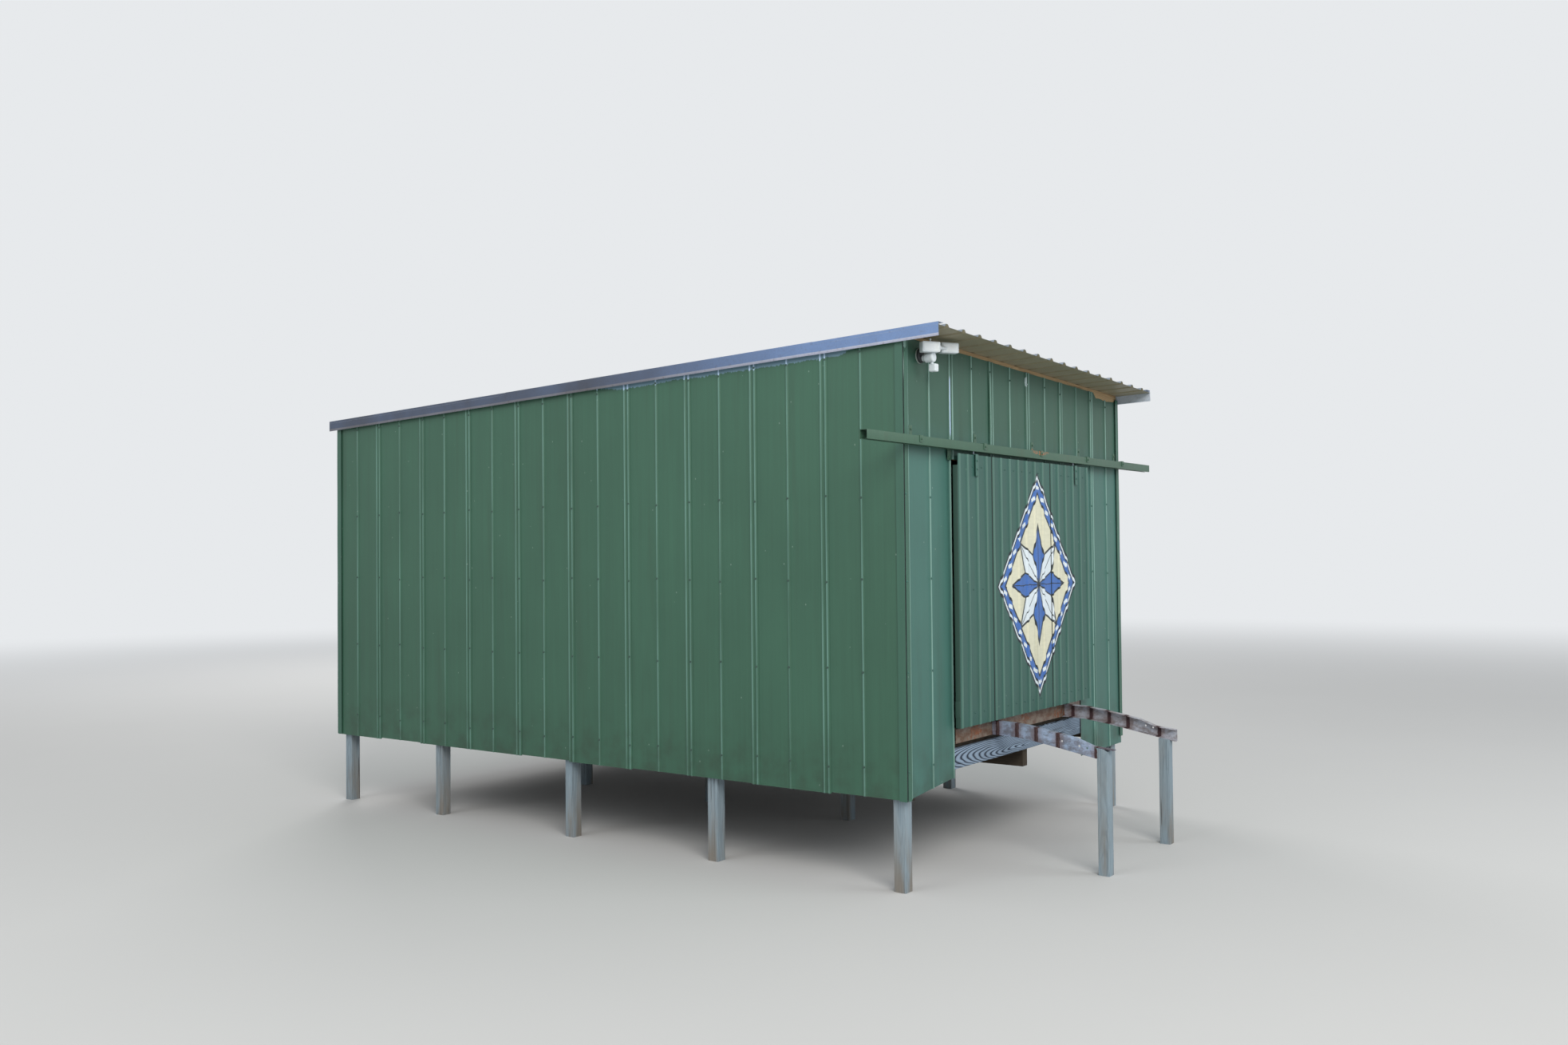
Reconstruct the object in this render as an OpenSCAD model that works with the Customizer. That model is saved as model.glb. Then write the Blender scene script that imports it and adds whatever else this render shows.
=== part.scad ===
// Boathouse: a small metal-clad shed on posts, with a sliding door and a pair of ramp rails.
// Sizes are in millimetres. The front wall, with the door, faces -Y, and +X is to the right of someone facing it.

/* [Building] */
// Width across the front wall, over the framing
building_w = 3658; // [3400:1:4000]
// Length from the front wall to the back wall, over the framing
building_l = 6096; // [5600:1:6500]
// Height of the wall sheets' bottom edge over the lowest ground
sheet_lift = 610; // [450:1:800]
// Height of the roof sheets' underside over the wall sheets' bottom edge, at the front left corner
eave_h = 3080; // [2950:1:3250]
// Fall of the roof to the back, in degrees
fall_back = 1.9; // [1.2:0.1:2.5]
// Fall of the roof to the right, in degrees
fall_right = 1.5; // [0.5:0.1:2]
// Reach of the roof in front of the front wall
front_eave = 300; // [200:1:420]
// Reach of the roof behind the back wall
rear_eave = 90; // [60:1:200]
// Reach of the roof beside each side wall
side_eave = 38; // [25:1:60]

/* [Timber] */
// Side of a square post
post = 89; // [80:1:100]
// Thickness of a sawn board
board_t = 38; // [32:1:45]
// Width of a narrow board, such as a girt or a purlin
narrow_w = 89; // [80:1:100]
// Width of a wide board, such as a joist or a rafter
wide_w = 140; // [125:1:150]
// Distance from the wall sheets' bottom edge up to the joists' underside
joist_lift = 120; // [100:1:140]
// Distance between floor joists, centre to centre
joist_pitch = 406; // [350:1:460]
// Number of rows of girts between the floor and the roof
girt_rows = 3; // [2:1:4]
// Distance between purlins, centre to centre
purlin_pitch = 610; // [500:1:700]
// Distance of the second, third and fourth post from the front wall
post_places = [1670, 3140, 4730];

/* [Wall sheets] */
// Thickness of a metal sheet
sheet_t = 1.2; // [0.8:0.1:1.6]
// Width that one wall sheet covers
sheet_cover = 610; // [560:1:660]
// Height of a crimp
crimp_h = 11; // [8:0.5:13]
// Width of a crimp at its foot
crimp_w = 25; // [20:0.5:30]
// Width of a crimp at its crest
crimp_top = 5; // [3:0.5:8]
// Distance between the two crimps of a lap
lap_pitch = 38; // [34:0.5:44]
// Distance from the corner to the first lap, on the side walls
side_lap_start = 16; // [10:1:40]
// Distance from the corner to the first lap, on the front and back walls
front_lap_start = 35; // [30:1:60]
// Width of a corner trim's leg
corner_leg = 48; // [40:1:60]

/* [Roof sheets] */
// Distance between the roof ribs
roof_pitch = 228.6; // [200:0.1:250]
// Height of a roof rib
roof_rib_h = 19; // [15:0.5:24]
// Width of a roof rib at its foot
roof_rib_w = 60; // [50:1:70]
// Width of a roof rib at its crest
roof_rib_top = 26; // [20:1:34]
// Height of the rake trims
rake_h = 92; // [75:1:110]
// Width of the rake trims' top leg
rake_leg = 70; // [55:1:90]

/* [Doorway] */
// Distance from the left corner to the doorway
doorway_x = 629; // [560:1:700]
// Width of the doorway
doorway_w = 2150; // [1950:1:2250]
// Height of the door track's underside over the wall sheets' bottom edge
track_lift = 2335; // [2250:1:2400]
// Depth of the door header under the track's underside
header_drop = 65; // [50:1:80]

/* [Door] */
// Lap of the door over the wall, left of the doorway
door_lap_left = 15; // [10:1:30]
// Lap of the door over the wall, right of the doorway
door_lap_right = 68; // [55:1:80]
// Height of the door
door_h = 1900; // [1800:1:1905]
// Gap between the track's underside and the top of the door
door_top_gap = 20; // [16:1:24]
// Gap between the wall sheets and the back of the door
door_back_gap = 31; // [28:1:36]
// Distance between the door's small ribs
door_pitch = 141.3; // [130:0.1:150]
// Height of the door's small ribs
door_rib_h = 10; // [7:0.5:12]
// Width of the door's left sheet
door_sheet_a = 509; // [470:1:560]
// Width of the door's middle sheet
door_sheet_b = 989; // [900:1:1050]
// Distance of each hanger from the door's edge
hanger_inset = 262; // [200:1:330]

/* [Track] */
// Reach of the track past each corner
track_over = 565; // [450:1:620]
// Distance of each track bracket from the left corner
bracket_places = [95, 1000, 1940, 2820, 3580];
// Height of the track
track_h = 60; // [54:1:68]
// Depth of the track, from front to back
track_d = 56; // [50:1:62]
// Thickness of the track's steel
track_t = 2.5; // [2:0.1:3]
// Width of the slot under the track
track_slot = 24; // [22:1:28]
// Diameter of a trolley wheel
wheel_d = 40; // [34:1:44]
// Diameter of a hanger bolt
bolt_d = 12; // [10:0.5:13]

/* [Ramp rails] */
// Distance from the doorway's left side to the left rail's outer face
rail_in = 567; // [500:1:620]
// Distance between the outer faces of the two rails
rail_gauge = 1266; // [1200:1:1330]
// Height of a rail's web
rail_h = 100; // [90:1:110]
// Width of a rail's flange
rail_flange = 50; // [42:1:58]
// Thickness of a rail's steel
rail_t = 4.5; // [4:0.1:6]
// Length of one straight run of a rail
rail_run = 150; // [140:1:160]
// Slope of each run of a rail, in degrees, from the doorway outwards
rail_slopes = [2, 7.5, 10, 10.5];
// Reach of the rails in front of the front wall
ramp_reach = 930; // [900:1:980]
// Side of a ramp post
ramp_post = 80; // [72:1:89]
// Distance of the ramp posts from the front wall
ramp_post_y = 850; // [830:1:870]

/* [Lamp] */
// Distance of the lamp's base from the left corner
lamp_x = 225; // [200:1:260]
// Distance of the lamp's centre under the roof sheets
lamp_drop = 135; // [125:1:160]
// Diameter of the lamp's base
lamp_base_d = 104; // [90:1:115]

/* [Hidden] */
$fn = 32;

// Levels over the lowest ground.
joist_z = sheet_lift + joist_lift;
deck_z = joist_z + wide_w;
deck_top = deck_z + board_t;
track_z = sheet_lift + track_lift;
header_z = track_z - header_drop;
roof_z = sheet_lift + eave_h;
// Places of the frame's pieces, from the outer face of the framing.
post_in = board_t;
post_inner = post_in + post;
post_ys = concat([post_in + post / 2], post_places, [building_l - post_in - post / 2]);
mid_x = building_w / 2;
doorway_end = doorway_x + doorway_w;
// The whole part's middle, front to back, lies on Y = 0.
front_y = (ramp_reach - building_l - rear_eave) / 2;
// A length past every piece, for cutting.
far = 2 * building_l;
// A small clearance between pieces that don't bear on each other.
slack = 2;

// Paints and bare materials.
green_paint = "#3f6650";
dark_green_paint = "#36584a";
raw_timber = "#9a7a55";
grey_timber = "#8b8f92";
inner_timber = "#a98d67";
galvanised = "#9fa6ad";
rusty_steel = "#7d5a45";
white_plastic = "#e6e6e2";
black_plastic = "#2b2c2d";

// Places its children with the front left corner of the building at the given place of the part's frame.
module at_corner() {
    translate([-mid_x, front_y, 0]) children();
}

// The roof's own frame: its XY plane is the underside of the roof sheets.
module on_roof() {
    translate([0, 0, roof_z]) rotate([-fall_back, fall_right, 0]) children();
}

// Cuts its children off at a plane parallel to the roof, lower than the roof sheets' underside by drop.
module cut_under_roof(drop) {
    difference() {
        children();
        on_roof() translate([-far / 2, -far / 2, -drop]) cube([far, 2 * far, far / 2]);
    }
}

// Keeps the part of its children that lies in a band of height tall, drop under the roof sheets.
module roof_band(drop, tall) {
    intersection() {
        children();
        on_roof() translate([-far / 2, -far / 2, -drop - tall]) cube([far, 2 * far, tall]);
    }
}

// A square upright of the building's frame, centred on a point, from the ground to the purlins' underside.
module post_at(x, y) {
    cut_under_roof(narrow_w) translate([x - post / 2, y - post / 2, 0]) cube([post, post, roof_z]);
}

module left_posts() {
    color(grey_timber) at_corner() for (y = post_ys) post_at(post_in + post / 2, y);
}

module right_posts() {
    color(grey_timber) at_corner() for (y = post_ys) post_at(building_w - post_in - post / 2, y);
}

module middle_posts() {
    color(grey_timber) at_corner() for (y = post_places)
        translate([mid_x - post / 2, y - post / 2, 0]) cube([post, post, joist_z - wide_w]);
}

// A girder under the joists, along the building, inside the two rim joists.
module girder(x, w) {
    translate([x, board_t, joist_z - wide_w]) cube([w, building_l - 2 * board_t, wide_w]);
}

module left_girder() {
    color(raw_timber) at_corner() girder(post_inner, board_t);
}

module right_girder() {
    color(raw_timber) at_corner() girder(building_w - post_inner - board_t, board_t);
}

module middle_girder() {
    color(raw_timber) at_corner() girder(mid_x - board_t, 2 * board_t);
}

module front_rim_joist() {
    color(grey_timber) at_corner() translate([board_t, 0, joist_z])
        cube([building_w - 2 * board_t, board_t, wide_w]);
}

module rim_joists() {
    color(raw_timber) at_corner() {
        translate([0, 0, joist_z]) cube([board_t, building_l, wide_w]);
        translate([building_w - board_t, 0, joist_z]) cube([board_t, building_l, wide_w]);
        translate([board_t, building_l - board_t, joist_z])
            cube([building_w - 2 * board_t, board_t, wide_w]);
    }
}

// The joists lie across the girders, between the two rows of posts. The first doubles the front rim joist.
joist_len = building_w - 2 * post_inner;
joist_count = floor((building_l - 3 * board_t) / joist_pitch);
module floor_joists() {
    color(raw_timber) at_corner() {
        translate([post_inner, board_t, joist_z]) cube([joist_len, board_t, wide_w]);
        for (k = [1 : joist_count])
            translate([post_inner, k * joist_pitch, joist_z]) cube([joist_len, board_t, wide_w]);
    }
}

// The deck, notched round the posts. Its front edge lies behind the front rim joist.
module floor_deck() {
    notch = post + 2 * slack;
    color(raw_timber) at_corner() translate([0, 0, deck_z]) linear_extrude(board_t) difference() {
        translate([board_t, board_t]) square([building_w - 2 * board_t, building_l - 2 * board_t]);
        for (x = [post_in + post / 2, building_w - post_in - post / 2], y = post_ys)
            translate([x, y]) square(notch, center = true);
    }
}

// Heights of the rows of girts, evenly between the deck and the rafters at the low end of the roof.
girt_top = roof_z - narrow_w - wide_w - building_l * sin(fall_back) - building_w * sin(fall_right);
girt_step = (girt_top - deck_top) / (girt_rows + 1);
girt_zs = [for (k = [1 : girt_rows]) deck_top + k * girt_step - narrow_w / 2];

module side_girts(x) {
    for (z = girt_zs) translate([x, 0, z]) cube([board_t, building_l, narrow_w]);
}

module left_girts() {
    color(inner_timber) at_corner() side_girts(0);
}

module right_girts() {
    color(inner_timber) at_corner() side_girts(building_w - board_t);
}

module rear_girts() {
    color(inner_timber) at_corner() for (z = girt_zs)
        translate([board_t, building_l - board_t, z]) cube([building_w - 2 * board_t, board_t, narrow_w]);
}

// Short girts in the front wall, from the side girts to the doorway, under the header.
module front_girts() {
    color(inner_timber) at_corner() for (z = girt_zs) if (z + narrow_w < header_z) {
        translate([board_t, 0, z]) cube([doorway_x - board_t, board_t, narrow_w]);
        translate([doorway_end, 0, z]) cube([building_w - board_t - doorway_end, board_t, narrow_w]);
    }
}

// Uprights beside the doorway, from the deck to the purlins' underside.
module door_jambs() {
    color(inner_timber) at_corner() for (x = [doorway_x - post, doorway_end])
        cut_under_roof(narrow_w) translate([x, post_in, deck_top]) cube([post, post, roof_z]);
}

module door_header() {
    color(inner_timber) at_corner() translate([board_t, 0, header_z])
        cube([building_w - 2 * board_t, board_t, wide_w]);
}

module side_rafters() {
    color(inner_timber) at_corner() roof_band(narrow_w, wide_w) {
        cube([board_t, building_l, 2 * roof_z]);
        translate([building_w - board_t, 0, 0]) cube([board_t, building_l, 2 * roof_z]);
    }
}

module middle_rafter() {
    color(inner_timber) at_corner() roof_band(narrow_w, wide_w)
        translate([mid_x - board_t / 2, board_t, 0]) cube([board_t, building_l - 2 * board_t, 2 * roof_z]);
}

// Boards on edge that carry the ends of the middle rafter, in the front and back walls.
module end_beams() {
    color(inner_timber) at_corner() roof_band(narrow_w, wide_w) for (y = [0, building_l - board_t])
        translate([board_t, y, 0]) cube([building_w - 2 * board_t, board_t, 2 * roof_z]);
}

// Purlins on edge across the rafters, flush with the roof sheets' underside. The first is the eave board.
purlin_count = floor((building_l - 2 * board_t) / purlin_pitch);
purlin_ys = concat([for (k = [0 : purlin_count - 1]) k * purlin_pitch], [building_l - board_t]);
module purlins() {
    color(raw_timber) at_corner() roof_band(0, narrow_w) for (y = purlin_ys)
        translate([0, y, 0]) cube([building_w, board_t, 2 * roof_z]);
}

// The outline of one rib as points [along, height], centred on c.
function rib(c, foot, crest, h) = [[c - foot / 2, 0], [c - crest / 2, h], [c + crest / 2, h], [c + foot / 2, 0]];

// A ribbed sheet's section: its ribs' points, closed by the same line moved down by the thickness.
function sheet_line(points, from, to) = concat([[from, points[0][1]]], points, [[to, points[len(points) - 1][1]]]);
module sheet_section(line, t) {
    polygon(concat([for (p = line) [p[0], p[1] + t]], [for (k = [len(line) - 1 : -1 : 0]) line[k]]));
}

function joined(lists) = [for (l = lists) for (p = l) p];

// The roof's ribs start half a pitch from its left edge.
roof_w = building_w + 2 * side_eave;
roof_l = front_eave + building_l + rear_eave;
least_half_pitch = 0.3;
roof_ribs = floor(roof_w / roof_pitch - least_half_pitch);
module roof_sheets() {
    ribs = joined([for (k = [0 : roof_ribs - 1])
        rib((k + 1 / 2) * roof_pitch, roof_rib_w, roof_rib_top, roof_rib_h)]);
    color(galvanised) at_corner() on_roof() translate([-side_eave, -front_eave, 0])
        translate([0, roof_l, 0]) rotate([90, 0, 0])
            linear_extrude(roof_l) sheet_section(sheet_line(ribs, 0, roof_w), sheet_t);
}

// A rake trim: a leg down beside the roof sheets' edge and a leg over the outer rib.
module rake_trim() {
    top = roof_rib_h + 2 * sheet_t;
    translate([0, roof_l - front_eave, 0]) rotate([90, 0, 0]) linear_extrude(roof_l) polygon([
        [-sheet_t, top - rake_h], [0, top - rake_h], [0, top - sheet_t],
        [rake_leg, top - sheet_t], [rake_leg, top], [-sheet_t, top]]);
}

module left_rake_trim() {
    color(galvanised) at_corner() on_roof() translate([-side_eave, 0, 0]) rake_trim();
}

module right_rake_trim() {
    color(galvanised) at_corner() on_roof() translate([building_w + side_eave, 0, 0]) mirror([1, 0, 0])
        rake_trim();
}

// One wall sheet's line: a lap's two crimps, a single crimp, and the next lap's two crimps.
// The left lap lies over the sheet before, raised by up.
seat_gap = 0.3;
lap_flat = 5;
lap_edge = lap_pitch / 2 + crimp_w / 2 + lap_flat;
joggle_flat = 2;
joggle = 8;
function raised(points, by) = [for (p = points) [p[0], p[1] + by]];
function wall_sheet_line(up) =
    concat([[-lap_edge, up]],
        raised(rib(-lap_pitch / 2, crimp_w, crimp_top, crimp_h), up),
        raised(rib(lap_pitch / 2, crimp_w, crimp_top, crimp_h), up),
        [[lap_edge + joggle_flat, up], [lap_edge + joggle_flat + joggle, 0]],
        rib(sheet_cover / 2, crimp_w, crimp_top, crimp_h),
        rib(sheet_cover - lap_pitch / 2, crimp_w, crimp_top, crimp_h),
        rib(sheet_cover + lap_pitch / 2, crimp_w, crimp_top, crimp_h),
        [[sheet_cover + lap_edge, 0]]);

// The plan of sheet number k of a wall whose first lap is start from the corner, kept between from and to.
// The first sheet of a wall lies on no other.
module wall_sheet_plan(k, start, from, to) {
    up = k == 0 ? 0 : sheet_t + seat_gap;
    intersection() {
        translate([start + k * sheet_cover, 0]) sheet_section(wall_sheet_line(up), sheet_t);
        translate([from, -1]) square([to - from, crimp_h + 4 * sheet_t + 2]);
    }
}

// The width of sheet number k that lies between from and to.
function kept_width(k, start, from, to) =
    min(to, start + (k + 1) * sheet_cover + lap_edge) - max(from, start + k * sheet_cover - lap_edge);

// All sheets of a wall, upright, with x along the wall and y outwards, from z0 to z1.
// A sheet that would be cut down to less than its lap is left out.
module wall_sheets(start, from, to, z0, z1) {
    for (k = [floor((from - start) / sheet_cover) - 1 : ceil((to - start) / sheet_cover)])
        if (kept_width(k, start, from, to) > 2 * lap_edge)
            translate([0, 0, z0]) linear_extrude(z1 - z0) wall_sheet_plan(k, start, from, to);
}

// The side walls' sheets reach up outside the purlins' ends.
side_sheet_drop = 12;
module side_wall() {
    cut_under_roof(side_sheet_drop)
        rotate([0, 0, 90]) wall_sheets(side_lap_start, 0, building_l, sheet_lift, roof_z);
}

module left_wall_sheets() {
    color(green_paint) at_corner() side_wall();
}

module right_wall_sheets() {
    color(green_paint) at_corner() cut_under_roof(side_sheet_drop)
        translate([building_w, 0, 0]) mirror([1, 0, 0]) rotate([0, 0, 90])
            wall_sheets(side_lap_start, 0, building_l, sheet_lift, roof_z);
}

module rear_wall_sheets() {
    color(green_paint) at_corner() cut_under_roof(side_sheet_drop) translate([0, building_l, 0])
        wall_sheets(front_lap_start, 0, building_w, sheet_lift, roof_z);
}

// The front sheets stop under the eave board's upper edge, which stays bare.
eave_board_show = 40;
front_left_rise = 62;
front_right_drop = 65;
module front_wall(from, to, z0) {
    cut_under_roof(eave_board_show) mirror([0, 1, 0])
        wall_sheets(front_lap_start, from, to, z0, roof_z);
}

// The sheets left of the doorway are cut at a slant along the bottom.
module front_left_sheets() {
    color(green_paint) at_corner() difference() {
        front_wall(0, doorway_x, sheet_lift);
        translate([0, 0, sheet_lift]) rotate([0, -atan(front_left_rise / doorway_x), 0])
            translate([0, -far / 2, -far]) cube([far, far, far]);
    }
}

module front_right_sheets() {
    color(green_paint) at_corner() front_wall(doorway_end, building_w, sheet_lift - front_right_drop);
}

module front_upper_sheets() {
    color(green_paint) at_corner() front_wall(doorway_x, doorway_end, header_z);
}

// An angle folded round each corner, over the crimps.
module corner_trim() {
    inner = crimp_h + sheet_t + seat_gap;
    outer = inner + sheet_t;
    polygon([[-outer, -outer], [corner_leg, -outer], [corner_leg, -inner], [-inner, -inner],
        [-inner, corner_leg], [-outer, corner_leg]]);
}

module corner_trims() {
    color(green_paint) at_corner() cut_under_roof(eave_board_show) for (x = [0, 1], y = [0, 1])
        translate([x * building_w, y * building_l, sheet_lift]) mirror([x, 0, 0]) mirror([0, y, 0])
            linear_extrude(roof_z - sheet_lift) corner_trim();
}

// The channel along the doorway's foot: web in front, flanges inwards, resting on the deck's edge.
sill_front = 12;
sill_depth = 60;
sill_side_gap = 21;
module channel_section(depth) {
    polygon([[0, 0], [depth, 0], [depth, rail_t], [rail_t, rail_t], [rail_t, rail_h - rail_t],
        [depth, rail_h - rail_t], [depth, rail_h], [0, rail_h]]);
}

module sill_channel() {
    color(rusty_steel) at_corner() translate([doorway_x + sill_side_gap, -sill_front, deck_top])
        rotate([90, 0, 90]) linear_extrude(doorway_w - 2 * sill_side_gap) channel_section(sill_depth);
}

// The rails' side view is worked out in a plane with u outwards from the wall and v up.
rail_top = deck_top + rail_h;
rail_stub = 55;
rail_chamfer = 130;
rail_chamfer_drop = 23;
tab_slope = 6;
// Point number n along the rail's top edge.
function rail_point(n) = n == 0 ? [rail_stub, rail_top]
    : rail_point(n - 1) + rail_run * [cos(rail_slopes[n - 1]), -sin(rail_slopes[n - 1])];
rail_runs = len(rail_slopes);
rail_end_slope = rail_slopes[rail_runs - 1];
// The top edge's points, from the sill channel to the last full run.
rail_line = concat([[sill_front, rail_top]], [for (n = [0 : rail_runs]) rail_point(n)]);
rail_last = rail_point(rail_runs);
// The chamfer leaves the line at its last point, and the tab beyond it runs out at a flatter slope.
chamfer_end = rail_last + [rail_chamfer, -rail_chamfer_drop - rail_chamfer * tan(rail_end_slope)];
tab_end = [ramp_reach, chamfer_end[1] - (ramp_reach - chamfer_end[0]) * tan(tab_slope)];
top_line = concat(rail_line, [chamfer_end, tab_end]);
// The bottom edge runs parallel to the top edge, as far as the end of the web.
function bottom_at(u) = rail_last[1] - (u - rail_last[0]) * tan(rail_end_slope) - rail_h;
function lowered(line, by) = [for (p = line) [p[0], p[1] - by]];
function bottom_line(end) = concat(lowered(rail_line, rail_h), [[end, bottom_at(end)]]);
function reversed(line) = [for (k = [len(line) - 1 : -1 : 0]) line[k]];

// A strip of the given thickness under a line.
module strip_under(line, t) {
    polygon(concat(line, reversed(lowered(line, t))));
}

// Turns a side view into a solid of width w, whose u axis points away from the wall.
module sideways(w) {
    rotate([90, 0, -90]) linear_extrude(w) children();
}

rail_holes = [554, 683, 741];
rail_hole_r = 7;
rail_hole_drop = 45;
// A ramp rail with its web's outer face on X = 0 and its flanges towards +X. Its web ends at web_end.
module ramp_rail(web_end, holes) {
    bottom = bottom_line(web_end);
    web_top = [for (p = top_line) if (p[0] <= web_end) p];
    difference() {
        union() {
            translate([rail_t, 0, 0]) sideways(rail_t)
                polygon(concat(web_top, [[web_end, web_end > chamfer_end[0] ? tab_end[1] : chamfer_end[1]]],
                    reversed(bottom)));
            translate([rail_flange, 0, 0]) sideways(rail_flange) strip_under(top_line, rail_t);
            translate([rail_flange, 0, 0]) sideways(rail_flange) strip_under(lowered(bottom, -rail_t), rail_t);
        }
        for (u = holes) translate([-1, -u, rail_hole_z(u)]) rotate([0, 90, 0])
            cylinder(r = rail_hole_r, h = rail_t + 2);
    }
}

function rail_hole_z(u) = bottom_at(u) + rail_h - rail_hole_drop;

left_rail_x = doorway_x + rail_in;
right_rail_x = left_rail_x + rail_gauge;
module left_ramp_rail() {
    color(galvanised) at_corner() translate([left_rail_x, 0, 0])
        ramp_rail(ramp_post_y - ramp_post / 2 - slack, rail_holes);
}

module right_ramp_rail() {
    color(galvanised) at_corner() translate([right_rail_x, 0, 0]) mirror([1, 0, 0])
        ramp_rail(ramp_reach, [for (k = [1, 2]) rail_holes[k]]);
}

// A ramp post centred on x, cut off along a line of the rail's side view.
module ramp_post_under(x, line) {
    intersection() {
        translate([x - ramp_post / 2, -ramp_post_y - ramp_post / 2, 0])
            cube([ramp_post, ramp_post, rail_top]);
        translate([x + far / 2, 0, 0]) sideways(far)
            polygon(concat(line, [[line[len(line) - 1][0], 0], [line[0][0], 0]]));
    }
}

module left_ramp_post() {
    color(grey_timber) at_corner() ramp_post_under(left_rail_x + ramp_post / 2, lowered(top_line, rail_t));
}

module right_ramp_post() {
    color(grey_timber) at_corner() ramp_post_under(right_rail_x - ramp_post / 2, bottom_line(ramp_reach));
}

// A hanger strap's size.
hanger_t = 5;
hanger_w = 40;
hanger_l = 150;
// The door hangs with its back this far in front of the framing's outer face.
door_back = door_back_gap + sheet_t;
door_x = doorway_x - door_lap_left;
door_w = doorway_w + door_lap_left + door_lap_right;
door_z = track_z - door_top_gap - hanger_t - door_h;
door_mid = door_back + (board_t + sheet_t + door_rib_h) / 2;

// Side view of the track: a box with a slot underneath, centred on the door's thickness.
module track_section() {
    difference() {
        translate([-track_d / 2, 0]) square([track_d, track_h]);
        translate([-track_d / 2 + track_t, track_t]) square([track_d - 2 * track_t, track_h - 2 * track_t]);
        translate([-track_slot / 2, -track_t]) square([track_slot, 3 * track_t]);
    }
}

module door_track() {
    color(green_paint) at_corner() translate([-track_over, -door_mid, track_z]) rotate([90, 0, 90])
        linear_extrude(building_w + 2 * track_over) track_section();
}

// A strap from the wall over the track's top and down its front, on the flat between two crimps.
bracket_w = 40;
bracket_t = 5;
bracket_up = 75;
bracket_down = 42;
track_back = door_mid - track_d / 2;
track_front = door_mid + track_d / 2;
track_top = track_z + track_h;
module bracket_side() {
    wall = sheet_t;
    polygon([[wall, track_top - bracket_down], [wall + bracket_t, track_top - bracket_down],
        [wall + bracket_t, track_top], [track_front, track_top], [track_front, track_top - bracket_down],
        [track_front + bracket_t, track_top - bracket_down], [track_front + bracket_t, track_top + bracket_t],
        [wall + bracket_t, track_top + bracket_t], [wall + bracket_t, track_top + bracket_up],
        [wall, track_top + bracket_up]]);
}

// A plate on the crimp beside the doorway's upper left corner.
jamb_plate_size = [54, 4, 95];
jamb_plate_drop = 70;
module track_brackets() {
    color(green_paint) at_corner() {
        for (x = bracket_places) translate([x + bracket_w / 2, 0, 0]) sideways(bracket_w) bracket_side();
        translate([doorway_x - jamb_plate_size[0], -crimp_h - sheet_t - seat_gap - jamb_plate_size[1],
            track_z - jamb_plate_drop]) cube(jamb_plate_size);
    }
}

// The door's frame of sawn boards: two stiles, three rails. The left stile stops short of the top.
stile_drop = 80;
module door_frame() {
    color(dark_green_paint) at_corner() translate([door_x, -door_back - board_t, door_z]) difference() {
        cube([door_w, board_t, door_h]);
        for (z = [narrow_w, (door_h + narrow_w) / 2])
            translate([narrow_w, -1, z])
                cube([door_w - 2 * narrow_w, board_t + 2, (door_h - 3 * narrow_w) / 2]);
        translate([-1, -1, door_h - stile_drop]) cube([narrow_w + 1, board_t + 2, stile_drop + 1]);
    }
}

// The door's sheets, side by side with a narrow joint. Each has a rib beside its left edge and one at every pitch.
door_joint = 2;
door_rib_w = 36;
door_rib_top = 17;
door_edge_rib = 20;
door_edges = [0, door_sheet_a, door_sheet_a + door_sheet_b, door_w];
module door_sheet(from, to) {
    count = floor((to - from - door_edge_rib) / door_pitch);
    places = concat([door_edge_rib], [for (k = [1 : count]) k * door_pitch]);
    ribs = joined([for (place = places) rib(place, door_rib_w, door_rib_top, door_rib_h)]);
    translate([from, 0, 0]) linear_extrude(door_h) mirror([0, 1, 0])
        sheet_section(sheet_line(ribs, door_joint / 2, to - from - door_joint / 2), sheet_t);
}

module door_sheets() {
    color(green_paint) at_corner() translate([door_x, -door_back - board_t, door_z])
        for (k = [0 : 2]) door_sheet(door_edges[k], door_edges[k + 1]);
}

// A strap over the door's top edge and down both of its faces.
hanger_xs = [door_x + hanger_inset, door_x + door_w - hanger_inset];
door_face = door_back + board_t + sheet_t + door_rib_h;
module hanger_side() {
    top = door_z + door_h;
    polygon([[door_back - hanger_t, top - hanger_l], [door_back, top - hanger_l], [door_back, top],
        [door_face, top], [door_face, top - hanger_l], [door_face + hanger_t, top - hanger_l],
        [door_face + hanger_t, top + hanger_t], [door_back - hanger_t, top + hanger_t]]);
}

module door_hangers() {
    color(dark_green_paint) at_corner() for (x = hanger_xs)
        translate([x + hanger_w / 2, 0, 0]) sideways(hanger_w) hanger_side();
}

// A trolley: four wheels on two axles, a body between them and a bolt down to the hanger.
wheel_gap = 0.3;
wheel_w = 9;
trolley_l = 110;
trolley_w = 14;
trolley_h = 20;
trolley_play = 5;
axle_d = 9;
module trolley() {
    wheel_z = track_z + track_t + wheel_gap + wheel_d / 2;
    span = track_d - 2 * (track_t + trolley_play);
    translate([-trolley_l / 2, -trolley_w / 2, wheel_z - trolley_h / 2]) cube([trolley_l, trolley_w, trolley_h]);
    for (x = [-1, 1]) translate([x * (trolley_l - wheel_d) / 2, 0, wheel_z]) rotate([90, 0, 0]) {
        cylinder(d = axle_d, h = span, center = true);
        for (y = [-1, 1]) translate([0, 0, y * (span - wheel_w) / 2])
            cylinder(d = wheel_d, h = wheel_w, center = true);
    }
    translate([0, 0, door_z + door_h + hanger_t])
        cylinder(d = bolt_d, h = wheel_z - door_z - door_h - hanger_t);
}

module door_trolleys() {
    color(galvanised) at_corner() for (x = hanger_xs) translate([x, -door_mid, 0]) trolley();
}

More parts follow.
